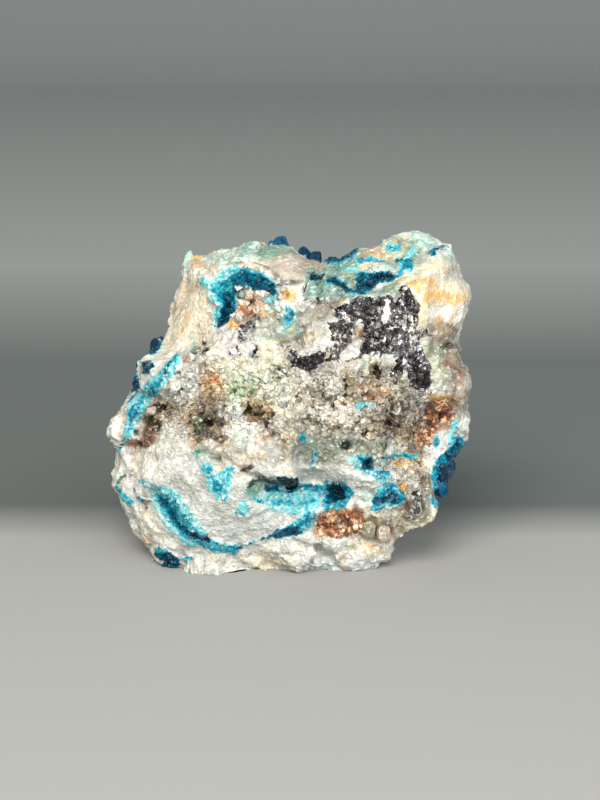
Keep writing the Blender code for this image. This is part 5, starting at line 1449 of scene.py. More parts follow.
    def scattered(self, tint: np.ndarray, layers: tuple, amount: float | np.ndarray = 1.0) -> np.ndarray:
        """Stain a colour in patches that follow noise.

        Args:
            tint: the colours before.
            layers: tint, size, seed, least noise that shows and strength of each stain.
            amount: how much of each stain shows.

        Returns:
            The colours after, as linear values.
        """
        for colour, size, seed, least, strength in layers:
            share = np.clip((fractal_noise(self.seen, size, 4, seed) - least) * 4.0, 0.0, 1.0)
            share = (share * strength * amount)[:, None]
            tint = tint * (1.0 - share) + linear(colour.value) * share
        return tint

    def blue_cover(self, u: np.ndarray, w: np.ndarray) -> tuple[np.ndarray, np.ndarray]:
        """Where veszelyite lies, and how deep its blue is.

        Args:
            u: the vertices' places across, frayed.
            w: the vertices' places up, frayed.

        Returns:
            The cover from 0 to 1, and the tone.
        """
        total = np.zeros(len(u))
        tones = np.full(len(u), Blue.CYAN.value)
        groups = ((FRONT_BLUE, self.ahead > -0.08), (BACK_BLUE, self.ahead < -0.02))
        for patches, side in groups:
            for item in patches:
                cover = item.patch.cover(u, w) * side
                # A patch thins toward its edge, where it shows a brighter blue
                tone = item.tone.value + EDGE_LIGHTENING * (1.0 - cover)
                tones = np.where(cover > 0.0, tones * (1.0 - cover) + tone * cover, tones)
                total = np.maximum(total, cover)
        drift = 0.12 * fractal_noise(self.seen, 0.6, 3, 97) + 0.12 * fractal_noise(self.seen, 0.22, 2, 99)
        return total, np.clip(tones + drift, 0.0, 1.0)


FRONT_BLUE = (*ARC_BLUE, *RIDGE_BLUE, *SKYLINE_BLUE, *VUG_BLUE, *STRIPE_BLUE, *SEAM_BLUE, *FOOT_BLUE, *SIDE_BLUE, *SPRINKLED_BLUE)


@dataclass(frozen=True, eq=False)
class Crystal:
    """The shape of one small crystal or grain, pointing up, about one unit long.

    Attributes:
        points: its corners.
        faces: its triangles.
    """

    points: np.ndarray
    faces: np.ndarray

    @classmethod
    def from_rings(cls, rings: tuple) -> "Crystal":
        """A closed crystal made of stacked rings of corners.

        Each ring is a circle of corners, scaled to its width and thickness at its height.

        Args:
            rings: height, half width, half thickness and slant of each ring, from the foot up.

        Returns:
            The crystal.
        """
        sides = 6
        angle = np.arange(sides) * 2.0 * math.pi / sides
        points = [np.stack([wide * np.cos(angle), thick * np.sin(angle), height + slant * np.cos(angle)], axis=-1)
                  for height, wide, thick, slant in rings]
        top = np.array([[0.0, 0.0, rings[-1][0]]])
        ring = np.arange(sides)
        step = (ring + 1) % sides
        faces = []
        for k in range(len(rings) - 1):
            low, high = k * sides, (k + 1) * sides
            faces.append(np.stack([low + ring, low + step, high + step], axis=-1))
            faces.append(np.stack([low + ring, high + step, high + ring], axis=-1))
        last = (len(rings) - 1) * sides
        faces.append(np.stack([last + ring, last + step, np.full(sides, last + sides)], axis=-1))
        fan = np.arange(1, sides - 1)
        faces.append(np.stack([np.zeros(sides - 2, int), fan + 1, fan], axis=-1))
        return cls(np.concatenate([*points, top]), np.concatenate(faces))

    @classmethod
    def broken_block(cls, sizes: tuple[float, float, float], uneven: float, seed: int) -> "Crystal":
        """A block with uneven corners.

        Args:
            sizes: half width, half thickness and half height.
            uneven: how far corners stray.
            seed: which block.

        Returns:
            The crystal.
        """
        rng = np.random.default_rng(seed)
        corners = np.array(list(np.ndindex(2, 2, 2)), float) * 2.0 - 1.0
        corners = corners * sizes + rng.uniform(-uneven, uneven, (8, 3))
        faces = np.array([(0, 1, 3), (0, 3, 2), (4, 6, 7), (4, 7, 5), (0, 4, 5), (0, 5, 1),
                          (2, 3, 7), (2, 7, 6), (0, 2, 6), (0, 6, 4), (1, 5, 7), (1, 7, 3)])
        return cls(corners, faces)


class Habit(Enum):
    """How crystals and grains grow or break."""

    QUARTZ_POINT = (
        Crystal.from_rings(((-0.4, 0.42, 0.42, 0.0), (0.45, 0.42, 0.42, 0.0), (0.95, 0.05, 0.05, 0.0))),
        Crystal.from_rings(((-0.4, 0.5, 0.4, 0.0), (0.3, 0.46, 0.36, 0.05), (0.75, 0.08, 0.05, 0.0))),
    )
    CHISEL = (
        Crystal.from_rings(((-0.5, 0.5, 0.36, 0.0), (0.5, 0.5, 0.36, 0.08), (0.85, 0.34, 0.06, 0.05))),
        Crystal.from_rings(((-0.5, 0.45, 0.42, 0.0), (0.35, 0.45, 0.42, -0.1), (0.7, 0.2, 0.12, -0.06))),
        Crystal.from_rings(((-0.5, 0.55, 0.3, 0.0), (0.3, 0.55, 0.3, 0.15), (0.6, 0.4, 0.1, 0.12))),
    )
    CLEAVED = (
        Crystal.broken_block((0.6, 0.5, 0.35), 0.1, 1),
        Crystal.broken_block((0.5, 0.45, 0.5), 0.12, 2),
        Crystal.broken_block((0.8, 0.4, 0.25), 0.1, 3),
    )
    CRUMB = (
        Crystal.broken_block((0.5, 0.5, 0.45), 0.28, 4),
        Crystal.broken_block((0.55, 0.45, 0.4), 0.3, 5),
        Crystal.broken_block((0.45, 0.5, 0.5), 0.3, 6),
    )


@dataclass(frozen=True)
class Growth:
    """Where and how one kind of small crystal grows on the rock.

    Attributes:
        name: the piece's name.
        habit: the crystals' shapes.
        count: how many there are.
        sizes: smallest and largest length in millimetres.
        lean: how far they lean from straight off the surface, 0 to 1.
        sink: how deep their middles sit, as a share of their size.
        seed: which scatter.
        nodes: the CAD nodes that the piece stands for.
    """

    name: str
    habit: Habit
    count: int
    sizes: tuple[float, float]
    lean: float
    sink: float
    seed: int
    nodes: tuple[str, ...] = ()


def new_piece(name: str, points: np.ndarray, faces: np.ndarray, flat: bool) -> bpy.types.Object:
    """Make a mesh object from arrays.

    Args:
        name: its name.
        points: rows of x, y, z in metres.
        faces: rows of corner numbers.
        flat: whether its faces are shaded flat.

    Returns:
        The object, linked to the scene.
    """
    mesh = bpy.data.meshes.new(name)
    mesh.from_pydata(points.tolist(), [], faces.tolist(), shade_flat=flat)
    mesh.update()
    piece = bpy.data.objects.new(name, mesh)
    bpy.context.scene.collection.objects.link(piece)
    return piece


def add_attribute(piece: bpy.types.Object, name: str, values: np.ndarray):
    """Store a value or a colour with each vertex of a piece.

    Args:
        piece: the object.
        name: the attribute's name.
        values: one value or three to a vertex.
    """
    if values.ndim == 1:
        attribute = piece.data.attributes.new(name, "FLOAT", "POINT")
        attribute.data.foreach_set("value", values.astype(np.float32))
        return
    attribute = piece.data.attributes.new(name, "FLOAT_COLOR", "POINT")
    padded = np.concatenate([values, np.ones((len(values), 1))], axis=1)
    attribute.data.foreach_set("color", padded.astype(np.float32).ravel())


@dataclass
class Druse:
    """Many small crystals of one kind, joined in one piece.

    Attributes:
        growth: where and how they grow.
        surface: the rock that they grow on.
        chance: how likely each vertex of the rock is to carry one.
        finish: their material.
    """

    growth: Growth
    surface: Surface
    chance: np.ndarray
    finish: "Finish"

    def placed(self, rng: np.random.Generator, roots: np.ndarray) -> tuple[np.ndarray, np.ndarray, np.ndarray]:
        """Where the crystals stand, how they are turned and how large they are.

        Args:
            rng: the source of chance.
            roots: the vertices that they grow from.

        Returns:
            Middles, turning matrices and sizes.
        """
        count = len(roots)
        low, high = self.growth.sizes
        sizes = low * (high / low) ** (rng.random(count) ** 1.6)
        up = self.surface.normals[roots] + self.growth.lean * rng.normal(0.0, 0.6, (count, 3))
        up /= np.linalg.norm(up, axis=1, keepdims=True)
        side = np.cross(up, rng.normal(size=(count, 3)))
        side /= np.linalg.norm(side, axis=1, keepdims=True)
        turns = np.stack([side, np.cross(up, side), up], axis=-1)
        stretch = rng.uniform(0.75, 1.25, (count, 1, 3))
        normals = self.surface.normals[roots]
        middles = self.surface.points[roots] + normals * (sizes * MM * (0.5 - self.growth.sink))[:, None]
        return middles, turns * stretch, sizes * MM

    def build(self) -> bpy.types.Object:
        """Scatter the crystals and join them.

        Returns:
            The piece.
        """
        rng = np.random.default_rng(self.growth.seed)
        share = self.chance / self.chance.sum()
        roots = rng.choice(len(share), size=self.growth.count, p=share)
        kinds = rng.integers(0, len(self.growth.habit.value), self.growth.count)
        middles, turns, sizes = self.placed(rng, roots)
        points, faces, owners, filled = [], [], [], 0
        for kind, crystal in enumerate(self.growth.habit.value):
            chosen = np.flatnonzero(kinds == kind)
            if not len(chosen):
                continue
            corners = np.einsum("nij,kj->nki", turns[chosen], crystal.points) * sizes[chosen, None, None]
            corners += middles[chosen, None]
            step = np.arange(len(chosen))[:, None, None] * len(crystal.points)
            points.append(corners.reshape(-1, 3))
            faces.append((crystal.faces[None] + step + filled).reshape(-1, 3))
            owners.append(np.repeat(roots[chosen], len(crystal.points)))
            filled += len(points[-1])
        points, owners = np.concatenate(points), np.concatenate(owners)
        points[:, 2] = np.maximum(points[:, 2], 0.0)
        piece = new_piece(self.growth.name, points, np.concatenate(faces), flat=True)
        shades = np.clip(rng.normal(1.0, 0.14, len(self.chance)), 0.6, 1.35)[owners, None]
        add_attribute(piece, "tint", np.clip(self.surface.tint[owners] * shades, 0.0, 1.0))
        add_attribute(piece, "tone", self.surface.tone[owners])
        return piece

    def dress(self, piece: bpy.types.Object):
        """Give the crystals their finish and their place in the frame.

        Args:
            piece: the piece that build returned.
        """
        piece.data.materials.append(self.finish.material())
        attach(piece, ROOT)
        if self.growth.nodes:
            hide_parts(*self.growth.nodes)


class Shader:
    """A material under construction.

    Attributes:
        material: the Blender material.
        tree: its node tree.
        surface: its Principled shader node.
    """

    def __init__(self, name: str):
        """Start a material.

        Args:
            name: the material's name.
        """
        self.material = bpy.data.materials.new(name)
        self.material.use_nodes = True
        self.tree = self.material.node_tree
        self.surface = self.tree.nodes["Principled BSDF"]

    def add(self, kind: str, settings: dict | None = None, **inputs) -> bpy.types.Node:
        """Add a node with its settings and inputs.

        Args:
            kind: the node's type.
            settings: attributes of the node.
            inputs: values or sockets for its inputs; an underscore stands for a space.

        Returns:
            The node.
        """
        node = self.tree.nodes.new(kind)
        for name, value in (settings or {}).items():
            setattr(node, name, value)
        self.feed(node, **inputs)
        return node

    def feed(self, node: bpy.types.Node, **inputs):
        """Set or link a node's inputs.

        Args:
            node: the node.
            inputs: values or sockets; an underscore stands for a space, a leading one for a number.
        """
        for name, value in inputs.items():
            key = int(name[1:]) if name[0] == "_" else name.replace("_", " ")
            if isinstance(value, bpy.types.NodeSocket):
                self.tree.links.new(value, node.inputs[key])
            else:
                node.inputs[key].default_value = value

    def ramp(self, fac: bpy.types.NodeSocket, *stops: tuple) -> bpy.types.NodeSocket:
        """Turn a value into a colour through stops.

        Args:
            fac: the value.
            stops: pairs of position and hex code.

        Returns:
            The colour.
        """
        node = self.add("ShaderNodeValToRGB", Fac=fac)
        elements = node.color_ramp.elements
        while len(elements) < len(stops):
            elements.new(1.0)
        for element, (position, code) in zip(elements, stops):
            element.position = position
            element.color = (*linear(code), 1.0)
        return node.outputs["Color"]

    def blend(self, mode: str, share, a, b) -> bpy.types.NodeSocket:
        """Blend two colours.

        Args:
            mode: the blend type.
            share: how much of b.
            a: the first colour.
            b: the second colour.

        Returns:
            The blended colour.
        """
        node = self.add("ShaderNodeMix", {"data_type": "RGBA", "blend_type": mode}, _0=share, _6=a, _7=b)
        return node.outputs[2]

    def ranged(self, value, low: float, high: float, to_low: float, to_high: float) -> bpy.types.NodeSocket:
        """Stretch a value from one range to another.

        Args:
            value: the value's socket.
            low: where the first range starts.
            high: where it ends.
            to_low: what low becomes.
            to_high: what high becomes.

        Returns:
            The stretched value.
        """
        return self.add("ShaderNodeMapRange", _0=value, _1=low, _2=high, _3=to_low, _4=to_high).outputs[0]

    def place(self) -> bpy.types.NodeSocket:
        """The surface's own coordinates, in metres.

        Returns:
            Their socket.
        """
        return self.add("ShaderNodeTexCoord").outputs["Object"]

    def value(self, name: str, output: str = "Fac") -> bpy.types.NodeSocket:
        """What is stored with the surface under a name.

        Args:
            name: the attribute's name.
            output: "Fac" for a value, "Color" for a colour.

        Returns:
            Its socket.
        """
        return self.add("ShaderNodeAttribute", {"attribute_name": name}).outputs[output]

    def channels(self, colour: bpy.types.NodeSocket) -> tuple[bpy.types.NodeSocket, bpy.types.NodeSocket]:
        """Two unlike random values out of a random colour.

        Args:
            colour: the colour.

        Returns:
            Its red and its green.
        """
        outputs = self.add("ShaderNodeSeparateColor", Color=colour).outputs
        return outputs[0], outputs[1]

    def math(self, operation: str, a, b) -> bpy.types.NodeSocket:
        """Work out one value from two.

        Args:
            operation: the kind of sum.
            a: the first value.
            b: the second value.

        Returns:
            The result.
        """
        return self.add("ShaderNodeMath", {"operation": operation}, _0=a, _1=b).outputs[0]

    def sum(self, a, b) -> bpy.types.NodeSocket:
        """Two values added.

        Args:
            a: the first value.
            b: the second value.

        Returns:
            Their sum.
        """
        return self.math("ADD", a, b)

    def product(self, a, b) -> bpy.types.NodeSocket:
        """Two values multiplied.

        Args:
            a: the first value.
            b: the second value.

        Returns:
            Their product.
        """
        return self.math("MULTIPLY", a, b)

    def either(self, a, b) -> bpy.types.NodeSocket:
        """The larger of two values.

        Args:
            a: the first value.
            b: the second value.

        Returns:
            The larger one.
        """
        return self.math("MAXIMUM", a, b)

    def frayed(self, cover: bpy.types.NodeSocket, noise: bpy.types.NodeSocket) -> bpy.types.NodeSocket:
        """A soft cover made crisp, with a frayed edge.

        Args:
            cover: the soft cover, 0 to 1.
            noise: the noise that frays it.

        Returns:
            The crisp cover.
        """
        shifted = self.sum(cover, self.ranged(noise, 0.3, 0.7, -0.25, 0.25))
        return self.ranged(shifted, 0.4, 0.55, 0.0, 1.0)

    def glitter(self, normal: bpy.types.NodeSocket, colour: bpy.types.NodeSocket, amount: bpy.types.NodeSocket):
        """Tilt each grain's face its own way, so that grains catch the light one by one.

        Args:
            normal: the direction off the surface.
            colour: a random colour for each grain.
            amount: how far grains tilt.
        """
        tilt = self.add("ShaderNodeVectorMath", {"operation": "SUBTRACT"}, _0=colour, _1=(0.5, 0.5, 0.5)).outputs[0]
        tilt = self.add("ShaderNodeVectorMath", {"operation": "SCALE"}, _0=tilt, Scale=amount).outputs[0]
        turned = self.add("ShaderNodeVectorMath", {"operation": "ADD"}, _0=normal, _1=tilt).outputs[0]
        turned = self.add("ShaderNodeVectorMath", {"operation": "NORMALIZE"}, _0=turned).outputs[0]
        self.feed(self.surface, Normal=turned)

    def bump(self, *layers: tuple) -> bpy.types.NodeSocket:
        """Raise the surface by heights, the first layer lowest.

        Args:
            layers: pairs of height socket and depth in metres.

        Returns:
            The direction off the raised surface.
        """
        below = None
        for height, depth in layers:
            node = self.add("ShaderNodeBump", Height=height, Distance=depth)
            if below:
                self.feed(node, Normal=below)
            below = node.outputs["Normal"]
        return below


def per_metre(size_mm: float) -> float:
    """Texture scale whose cells are a given width.

    Args:
        size_mm: the width in millimetres.

    Returns:
        Cells to a metre.
    """
    return 1.0 / (size_mm * MM)


@dataclass(frozen=True)
class Finish:
    """A mineral's material.

    Attributes:
        name: the real finish.
        slot: the material's slot; not used.
    """

    name: str
    slot: str

    def material(self) -> bpy.types.Material:
        """The material, made once.

        Returns:
            The Blender material.
        """
        made = bpy.data.materials.get(self.name)
        return made if made else self.make()

    def make(self) -> bpy.types.Material:
        """Make the material."""
        raise NotImplementedError


@dataclass(frozen=True)
class VeinQuartz(Finish):
    """Milky broken quartz with stains: sugary grain that sparkles, darker in its seams.

    Attributes:
        grain: width of its sugary grains in millimetres.
        rough: roughness of the duller grains.
    """

    name: str = "milky_vein_quartz"
    slot: str = "quartz"
    grain: float = 0.17
    rough: float = 0.55

    def make(self) -> bpy.types.Material:
        """Stain colour, mottled grain by grain, with glossy and dull grains side by side.

        Returns:
            The material.
        """
        shader = Shader(self.name)
        place = shader.place()
        cells = shader.add("ShaderNodeTexVoronoi", Vector=place, Scale=per_metre(self.grain))
        cloud = shader.add("ShaderNodeTexNoise", Vector=place, Scale=per_metre(0.5), Detail=6.0, Roughness=0.65)
        fine = shader.add("ShaderNodeTexNoise", Vector=place, Scale=per_metre(0.09), Detail=3.0).outputs[0]
        one_grain, other = shader.channels(cells.outputs["Color"])
        # Each grain is a little lighter or darker than its neighbours, as in sugar
        mottle = shader.ramp(one_grain, (0.0, "#a8a7a3"), (0.3, "#dedddb"), (1.0, "#ffffff"))
        grit = shader.value("grit")
        share = shader.ranged(grit, 0.0, 0.8, 0.4, 0.85)
        colour = shader.blend("MULTIPLY", share, shader.value("tint", "Color"), mottle)
        # Cloudy veining, which keeps large areas from looking painted
        veil = shader.ramp(cloud.outputs[0], (0.32, "#b4ada4"), (0.46, "#efedea"), (0.62, "#ffffff"))
        colour = shader.blend("MULTIPLY", 0.7, colour, veil)
        # A few bright white sugar grains
        sugar = shader.product(shader.ranged(one_grain, 0.84, 0.94, 0.0, 0.55), share)
        colour = shader.blend("MIX", sugar, colour, (0.92, 0.93, 0.9, 1.0))
        dark_brown = self.dark_brown(shader, place, cloud.outputs[0], fine)
        colour = shader.blend("MIX", dark_brown, colour, (*linear(Tint.UMBER.value), 1.0))
        gloss = shader.ranged(one_grain, 0.2, 0.9, self.rough, 0.25)
        # Thin veszelyite on the quartz, made of small facets
        film = shader.frayed(shader.value("blue"), fine)
        tone = shader.value("tone")
        swing = shader.product(shader.ranged(other, 0.0, 1.0, -1.0, 1.0), shader.ranged(tone, 0.2, 1.0, 0.07, 0.3))
        bare = shader.product(shader.ranged(one_grain, 0.78, 0.86, 0.0, 0.7), shader.ranged(tone, 0.3, 0.9, 0.2, 1.0))
        skin = shader.product(film, shader.ranged(bare, 0.0, 1.0, 1.0, 0.0))
        colour = shader.blend("MIX", skin, colour, shader.ramp(shader.sum(tone, swing), *BLUE_RAMP))
        # Sulphide in the quartz, made of cleaved steps; each step's own brightness, up to near white, is painted
        # highlight
        metal = shader.frayed(shader.value("metal"), fine)
        upright = shader.add("ShaderNodeMapping", Vector=place, Rotation=(0.0, 0.35, 0.0), Scale=(1.7, 1.0, 0.6)).outputs[0]
        steps = shader.add("ShaderNodeTexVoronoi", Vector=upright, Scale=per_metre(0.26))
        bright, _ = shader.channels(steps.outputs["Color"])
        grey = shader.ramp(bright, (0.0, "#434142"), (0.4, "#838183"), (0.75, "#b2b1b3"), (1.0, "#ececec"))
        grey = shader.blend("MULTIPLY", 1.0, grey, shader.value("tint", "Color"))
        folds = shader.add("ShaderNodeTexVoronoi", {"feature": "DISTANCE_TO_EDGE"}, Vector=upright, Scale=per_metre(0.38))
        fold = shader.ranged(folds.outputs["Distance"], 0.0, 0.12, 0.75, 0.0)
        grey = shader.blend("MIX", fold, grey, (*linear(Tint.UMBER.value), 1.0))
        colour = shader.blend("MIX", metal, colour, grey)
        gloss = shader.blend("MIX", shader.either(film, metal), gloss, (0.24, 0.24, 0.24, 1.0))
        shine = shader.ranged(film, 0.0, 1.0, 0.5, 0.22)
        shader.feed(shader.surface, Base_Color=colour, Roughness=gloss, IOR=1.54, Metallic=shader.product(metal, 0.8))
        shader.feed(shader.surface, Specular_IOR_Level=shine)
        below = shader.bump((cloud.outputs[0], 0.0001), (cells.outputs["Distance"], 0.00005), (fine, 0.00002))
        sparkle = shader.either(shader.product(shader.either(film, metal), 0.55), shader.product(share, 0.16))
        shader.glitter(below, cells.outputs["Color"], sparkle)
        return shader.material

    def dark_brown(self, shader: "Shader", place: bpy.types.NodeSocket, cloud: bpy.types.NodeSocket,
             fine: bpy.types.NodeSocket) -> bpy.types.NodeSocket:
        """Dark brown in the seams between coarse grains, and in specks.

        Args:
            shader: the material under construction.
            place: the surface's own coordinates.
            cloud: noise that gathers the dark brown.
            fine: noise that frays it.

        Returns:
            How much dark brown there is.
        """
        bent = shader.add("ShaderNodeVectorMath", {"operation": "MULTIPLY_ADD"}, _1=(0.0003, 0.0003, 0.0003), _2=place)
        warp = shader.add("ShaderNodeTexNoise", Vector=place, Scale=per_metre(0.4), Detail=2.0)
        shader.tree.links.new(warp.outputs["Color"], bent.inputs[0])
        seams = shader.add("ShaderNodeTexVoronoi", {"feature": "DISTANCE_TO_EDGE"}, Vector=bent.outputs[0],
                           Scale=per_metre(0.42)).outputs["Distance"]
        seam = shader.product(shader.ranged(seams, 0.0, 0.1, 1.0, 0.0), shader.ranged(cloud, 0.4, 0.56, 0.0, 1.0))
        speck = shader.ranged(fine, 0.62, 0.7, 0.0, 1.0)
        both = shader.either(seam, shader.product(speck, shader.ranged(cloud, 0.42, 0.6, 0.8, 0.0)))
        return shader.product(shader.product(both, shader.value("grit")), 0.9)


@dataclass(frozen=True)
class Veszelyite(Finish):
    """Glassy blue crystals: dark and clear where thick, cyan where thin, with white glints.

    Attributes:
        clear: share of light that passes into the crystal.
        shine: strength of its glassy reflection.
        ramp: its colours by depth of blue.
    """

    name: str = "veszelyite_crystal"
    slot: str = "veszelyite"
    clear: float = 0.0
    shine: float = 0.16
    ramp: tuple = BLUE_RAMP

    def make(self) -> bpy.types.Material:
        """Blue by depth, with a glassy skin.

        Returns:
            The material.
        """
        shader = Shader(self.name)
        place = shader.place()
        drift = shader.add("ShaderNodeTexNoise", Vector=place, Scale=per_metre(0.3), Detail=4.0)
        # The blue drifts within a crystal, as its thickness does
        shifted = shader.sum(shader.value("tone"), shader.ranged(drift.outputs[0], 0.3, 0.7, -0.16, 0.14))
        colour = shader.ramp(shifted, *self.ramp)
        fine = shader.add("ShaderNodeTexNoise", Vector=place, Scale=per_metre(0.12), Detail=2.0)
        shader.feed(shader.surface, Base_Color=colour, Roughness=0.14, IOR=1.66, Transmission_Weight=self.clear)
        shader.feed(shader.surface, Specular_IOR_Level=self.shine)
        shader.feed(shader.surface, Normal=shader.bump((fine.outputs[0], 0.000012)))
        return shader.material


@dataclass(frozen=True)
class Sulphide(Finish):
    """Dark grey metallic sulphide: bright cleavage steps among dull dark gaps."""

    name: str = "galena_like_sulphide"
    slot: str = "sulphide"

    def make(self) -> bpy.types.Material:
        """Metal whose grains differ in brightness and polish.

        Returns:
            The material.
        """
        shader = Shader(self.name)
        place = shader.place()
        cells = shader.add("ShaderNodeTexVoronoi", Vector=place, Scale=per_metre(0.3))
        one_grain = shader.add("ShaderNodeSeparateColor", Color=cells.outputs["Color"]).outputs[0]
        cloud = shader.add("ShaderNodeTexNoise", Vector=place, Scale=per_metre(0.25), Detail=5.0)
        # Cleavage faces catch the light unevenly
        metal = shader.ramp(one_grain, (0.0, "#484647"), (0.5, "#8f8d8f"), (0.8, "#bbbabc"), (1.0, "#ffffff"))
        dull = shader.ramp(cloud.outputs[0], (0.35, "#5a5658"), (0.6, "#f2f0f4"))
        colour = shader.blend("MULTIPLY", 0.5, metal, dull)
        colour = shader.blend("MULTIPLY", 1.0, colour, shader.value("tint", "Color"))
        polish = shader.ranged(one_grain, 0.0, 1.0, 0.5, 0.2)
        shader.feed(shader.surface, Base_Color=colour, Metallic=0.8, Roughness=polish)
        shader.feed(shader.surface, Normal=shader.bump((cloud.outputs[0], 0.00005)))
        return shader.material


@dataclass(frozen=True)
class Limonite(Finish):
    """Crumbly iron rust: matt, from dark oxblood to orange."""

    name: str = "limonite_rust"
    slot: str = "limonite"

    def make(self) -> bpy.types.Material:
        """Matt rust colours that change from crumb to crumb.

        Returns:
            The material.
        """
        shader = Shader(self.name)
        place = shader.place()
        cloud = shader.add("ShaderNodeTexNoise", Vector=place, Scale=per_metre(0.8), Detail=6.0, Roughness=0.7)
        cells = shader.add("ShaderNodeTexVoronoi", Vector=place, Scale=per_metre(0.22))
        crumb, _ = shader.channels(cells.outputs["Color"])
        mixed = shader.sum(shader.ranged(crumb, 0.0, 1.0, 0.1, 0.7), shader.ranged(cloud.outputs[0], 0.38, 0.62, -0.34, 0.36))
        colour = shader.ramp(mixed, (0.08, "#241510"), (0.3, "#6e3d24"), (0.5, "#b8713f"), (0.68, "#dcab78"), (0.88, "#efe6d4"))
        colour = shader.blend("MIX", 0.25, colour, shader.value("tint", "Color"))
        shader.feed(shader.surface, Base_Color=colour, Roughness=0.8)
        shader.feed(shader.surface, Normal=shader.bump((cloud.outputs[0], 0.0001)))
        return shader.material


@dataclass(frozen=True)
class StudioSweep(Finish):
    """A pale floor that turns into a grey wall."""

    name: str = "studio_sweep"
    slot: str = ""

    def make(self) -> bpy.types.Material:
        """Pale below, grey above.

        Returns:
            The material.
        """
        shader = Shader(self.name)
        place = shader.place()
        axes = shader.add("ShaderNodeSeparateXYZ", Vector=place).outputs
        # The floor turns grey behind the specimen and grows lighter farther back, painted light that makes up for the
        # lamps' weaker light there; the wall goes on in that lighter grey
        way = shader.ranged(shader.sum(axes[1], axes[2]), 0.004, 0.104, 0.0, 1.0)
        colour = shader.ramp(way, (0.0, "#959593"), (0.07, "#555b5a"), (0.2, "#5e6463"), (0.5, "#5f6564"), (1.0, "#9a9e9d"))
        shader.feed(shader.surface, Base_Color=colour, Roughness=0.9)
        return shader.material


@dataclass
class Body:
    """The quartz rock itself.

    Attributes:
        surface: its finished surface.
        finish: its material.
    """

    surface: Surface
    finish: Finish

    def build(self) -> bpy.types.Object:
        """Make the rock's mesh with its stains stored in it.

        Returns:
            The piece.
        """
        surface = self.surface
        a, b, c = (surface.points[surface.quads[:, k]] for k in range(3))
        outward = (np.cross(b - a, c - b) * surface.normals[surface.quads[:, 0]]).sum() > 0.0
        quads = surface.quads if outward else surface.quads[:, ::-1]
        piece = new_piece("quartz_rock", surface.points, quads, flat=False)
        for name in ("tint", "tone", "blue", "metal", "grit"):
            add_attribute(piece, name, getattr(surface, name))
        return piece

    def dress(self, piece: bpy.types.Object):
        """Give the rock its finish and its place in the frame.

        Args:
            piece: the piece that build returned.
        """
        piece.data.materials.append(self.finish.material())
        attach(piece, ROOT)
        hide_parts("quartz_matrix")


@dataclass(frozen=True)
class BigCrystal:
    """One large veszelyite crystal, at a given place.

    Attributes:
        u: its middle, across.
        w: its middle, up.
        d: its middle's depth.
        sizes: half width, half thickness and half length in millimetres.
        turns: lean to the right, lean away and spin, in degrees.
        tone: how deep its blue is, or the colour of the quartz.
    """

    u: float
    w: float
    d: float
    sizes: tuple[float, float, float]
    turns: tuple[float, float, float]
    tone: Blue | Tint

    def corners(self) -> tuple[np.ndarray, np.ndarray]:
        """The crystal in the object's frame.

        Returns:
            Its points in metres and its triangles.
        """
        shape = Crystal.from_rings(((-1.0, 0.8, 0.8, 0.0), (-0.7, 1.0, 1.0, 0.0), (0.3, 1.0, 1.0, 0.12),
                                    (0.88, 0.56, 0.46, 0.12), (1.0, 0.3, 0.2, 0.08)))
        right, away, spin = (math.radians(turn) for turn in self.turns)
        about_x = np.array([(1, 0, 0), (0, math.cos(-away), -math.sin(-away)), (0, math.sin(-away), math.cos(-away))])
        about_y = np.array([(math.cos(right), 0, math.sin(right)), (0, 1, 0), (-math.sin(right), 0, math.cos(right))])
        about_z = np.array([(math.cos(spin), -math.sin(spin), 0), (math.sin(spin), math.cos(spin), 0), (0, 0, 1)])
        points = (shape.points * self.sizes) @ (about_x @ about_y @ about_z).T
        return points * MM + VIEW.world(np.array([[self.u, self.d, self.w]])), shape.faces


@dataclass
class CrystalGroup:
    """Large crystals grown together.

    Attributes:
        name: the piece's name.
        crystals: the crystals.
        finish: their material.
        node: the CAD node that the piece stands for.
    """

    name: str
    crystals: tuple[BigCrystal, ...]
    finish: Finish
    node: str = ""

    def build(self) -> bpy.types.Object:
        """Join the crystals in one piece, with their blue or colour stored in it.

        Returns:
            The piece.
        """
        points, faces, tones, filled = [], [], [], 0
        for crystal in self.crystals:
            corners, triangles = crystal.corners()
            points.append(corners)
            faces.append(triangles + filled)
            in_blue = isinstance(crystal.tone, Blue)
            tones.append(np.full(len(corners), crystal.tone.value) if in_blue else np.tile(linear(crystal.tone.value), (len(corners), 1)))
            filled += len(corners)
        piece = new_piece(self.name, np.concatenate(points), np.concatenate(faces), flat=True)
        add_attribute(piece, "tone" if in_blue else "tint", np.concatenate(tones))
        return piece

    def dress(self, piece: bpy.types.Object):
        """Give the crystals their finish and their place in the frame.

        Args:
            piece: the piece that build returned.
        """
        piece.data.materials.append(self.finish.material())
        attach(piece, ROOT)
        if self.node:
            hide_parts(self.node)


CREST_LEFT = (
    BigCrystal(-0.6, 19.8, 0.4, (0.6, 0.5, 0.74), (6.0, 12.0, 20.0), Blue.AZURE),
    BigCrystal(-0.95, 19.7, 0.3, (0.4, 0.36, 0.55), (-22.0, 4.0, 60.0), Blue.AZURE),
)
CREST_RIGHT = (
    BigCrystal(0.95, 19.1, 0.4, (0.62, 0.48, 0.8), (-12.0, 20.0, 50.0), Blue.DEEP),
    BigCrystal(1.45, 18.95, 0.35, (0.5, 0.4, 0.72), (24.0, 10.0, 10.0), Blue.DEEP),
)
SIDE_CLUSTER = (
    BigCrystal(9.9, 7.7, -2.0, (0.55, 0.45, 0.8), (25.0, -10.0, 10.0), Blue.AZURE),
    BigCrystal(9.6, 6.9, -2.3, (0.55, 0.45, 0.85), (12.0, -18.0, 45.0), Blue.AZURE),
    BigCrystal(9.4, 6.0, -2.4, (0.5, 0.45, 0.8), (-6.0, -25.0, 80.0), Blue.DEEP),
    BigCrystal(9.25, 5.2, -2.1, (0.48, 0.44, 0.68), (-22.0, -15.0, 20.0), Blue.AZURE),
    BigCrystal(9.8, 6.2, -1.8, (0.42, 0.38, 0.58), (30.0, 10.0, 60.0), Blue.DEEP),
)

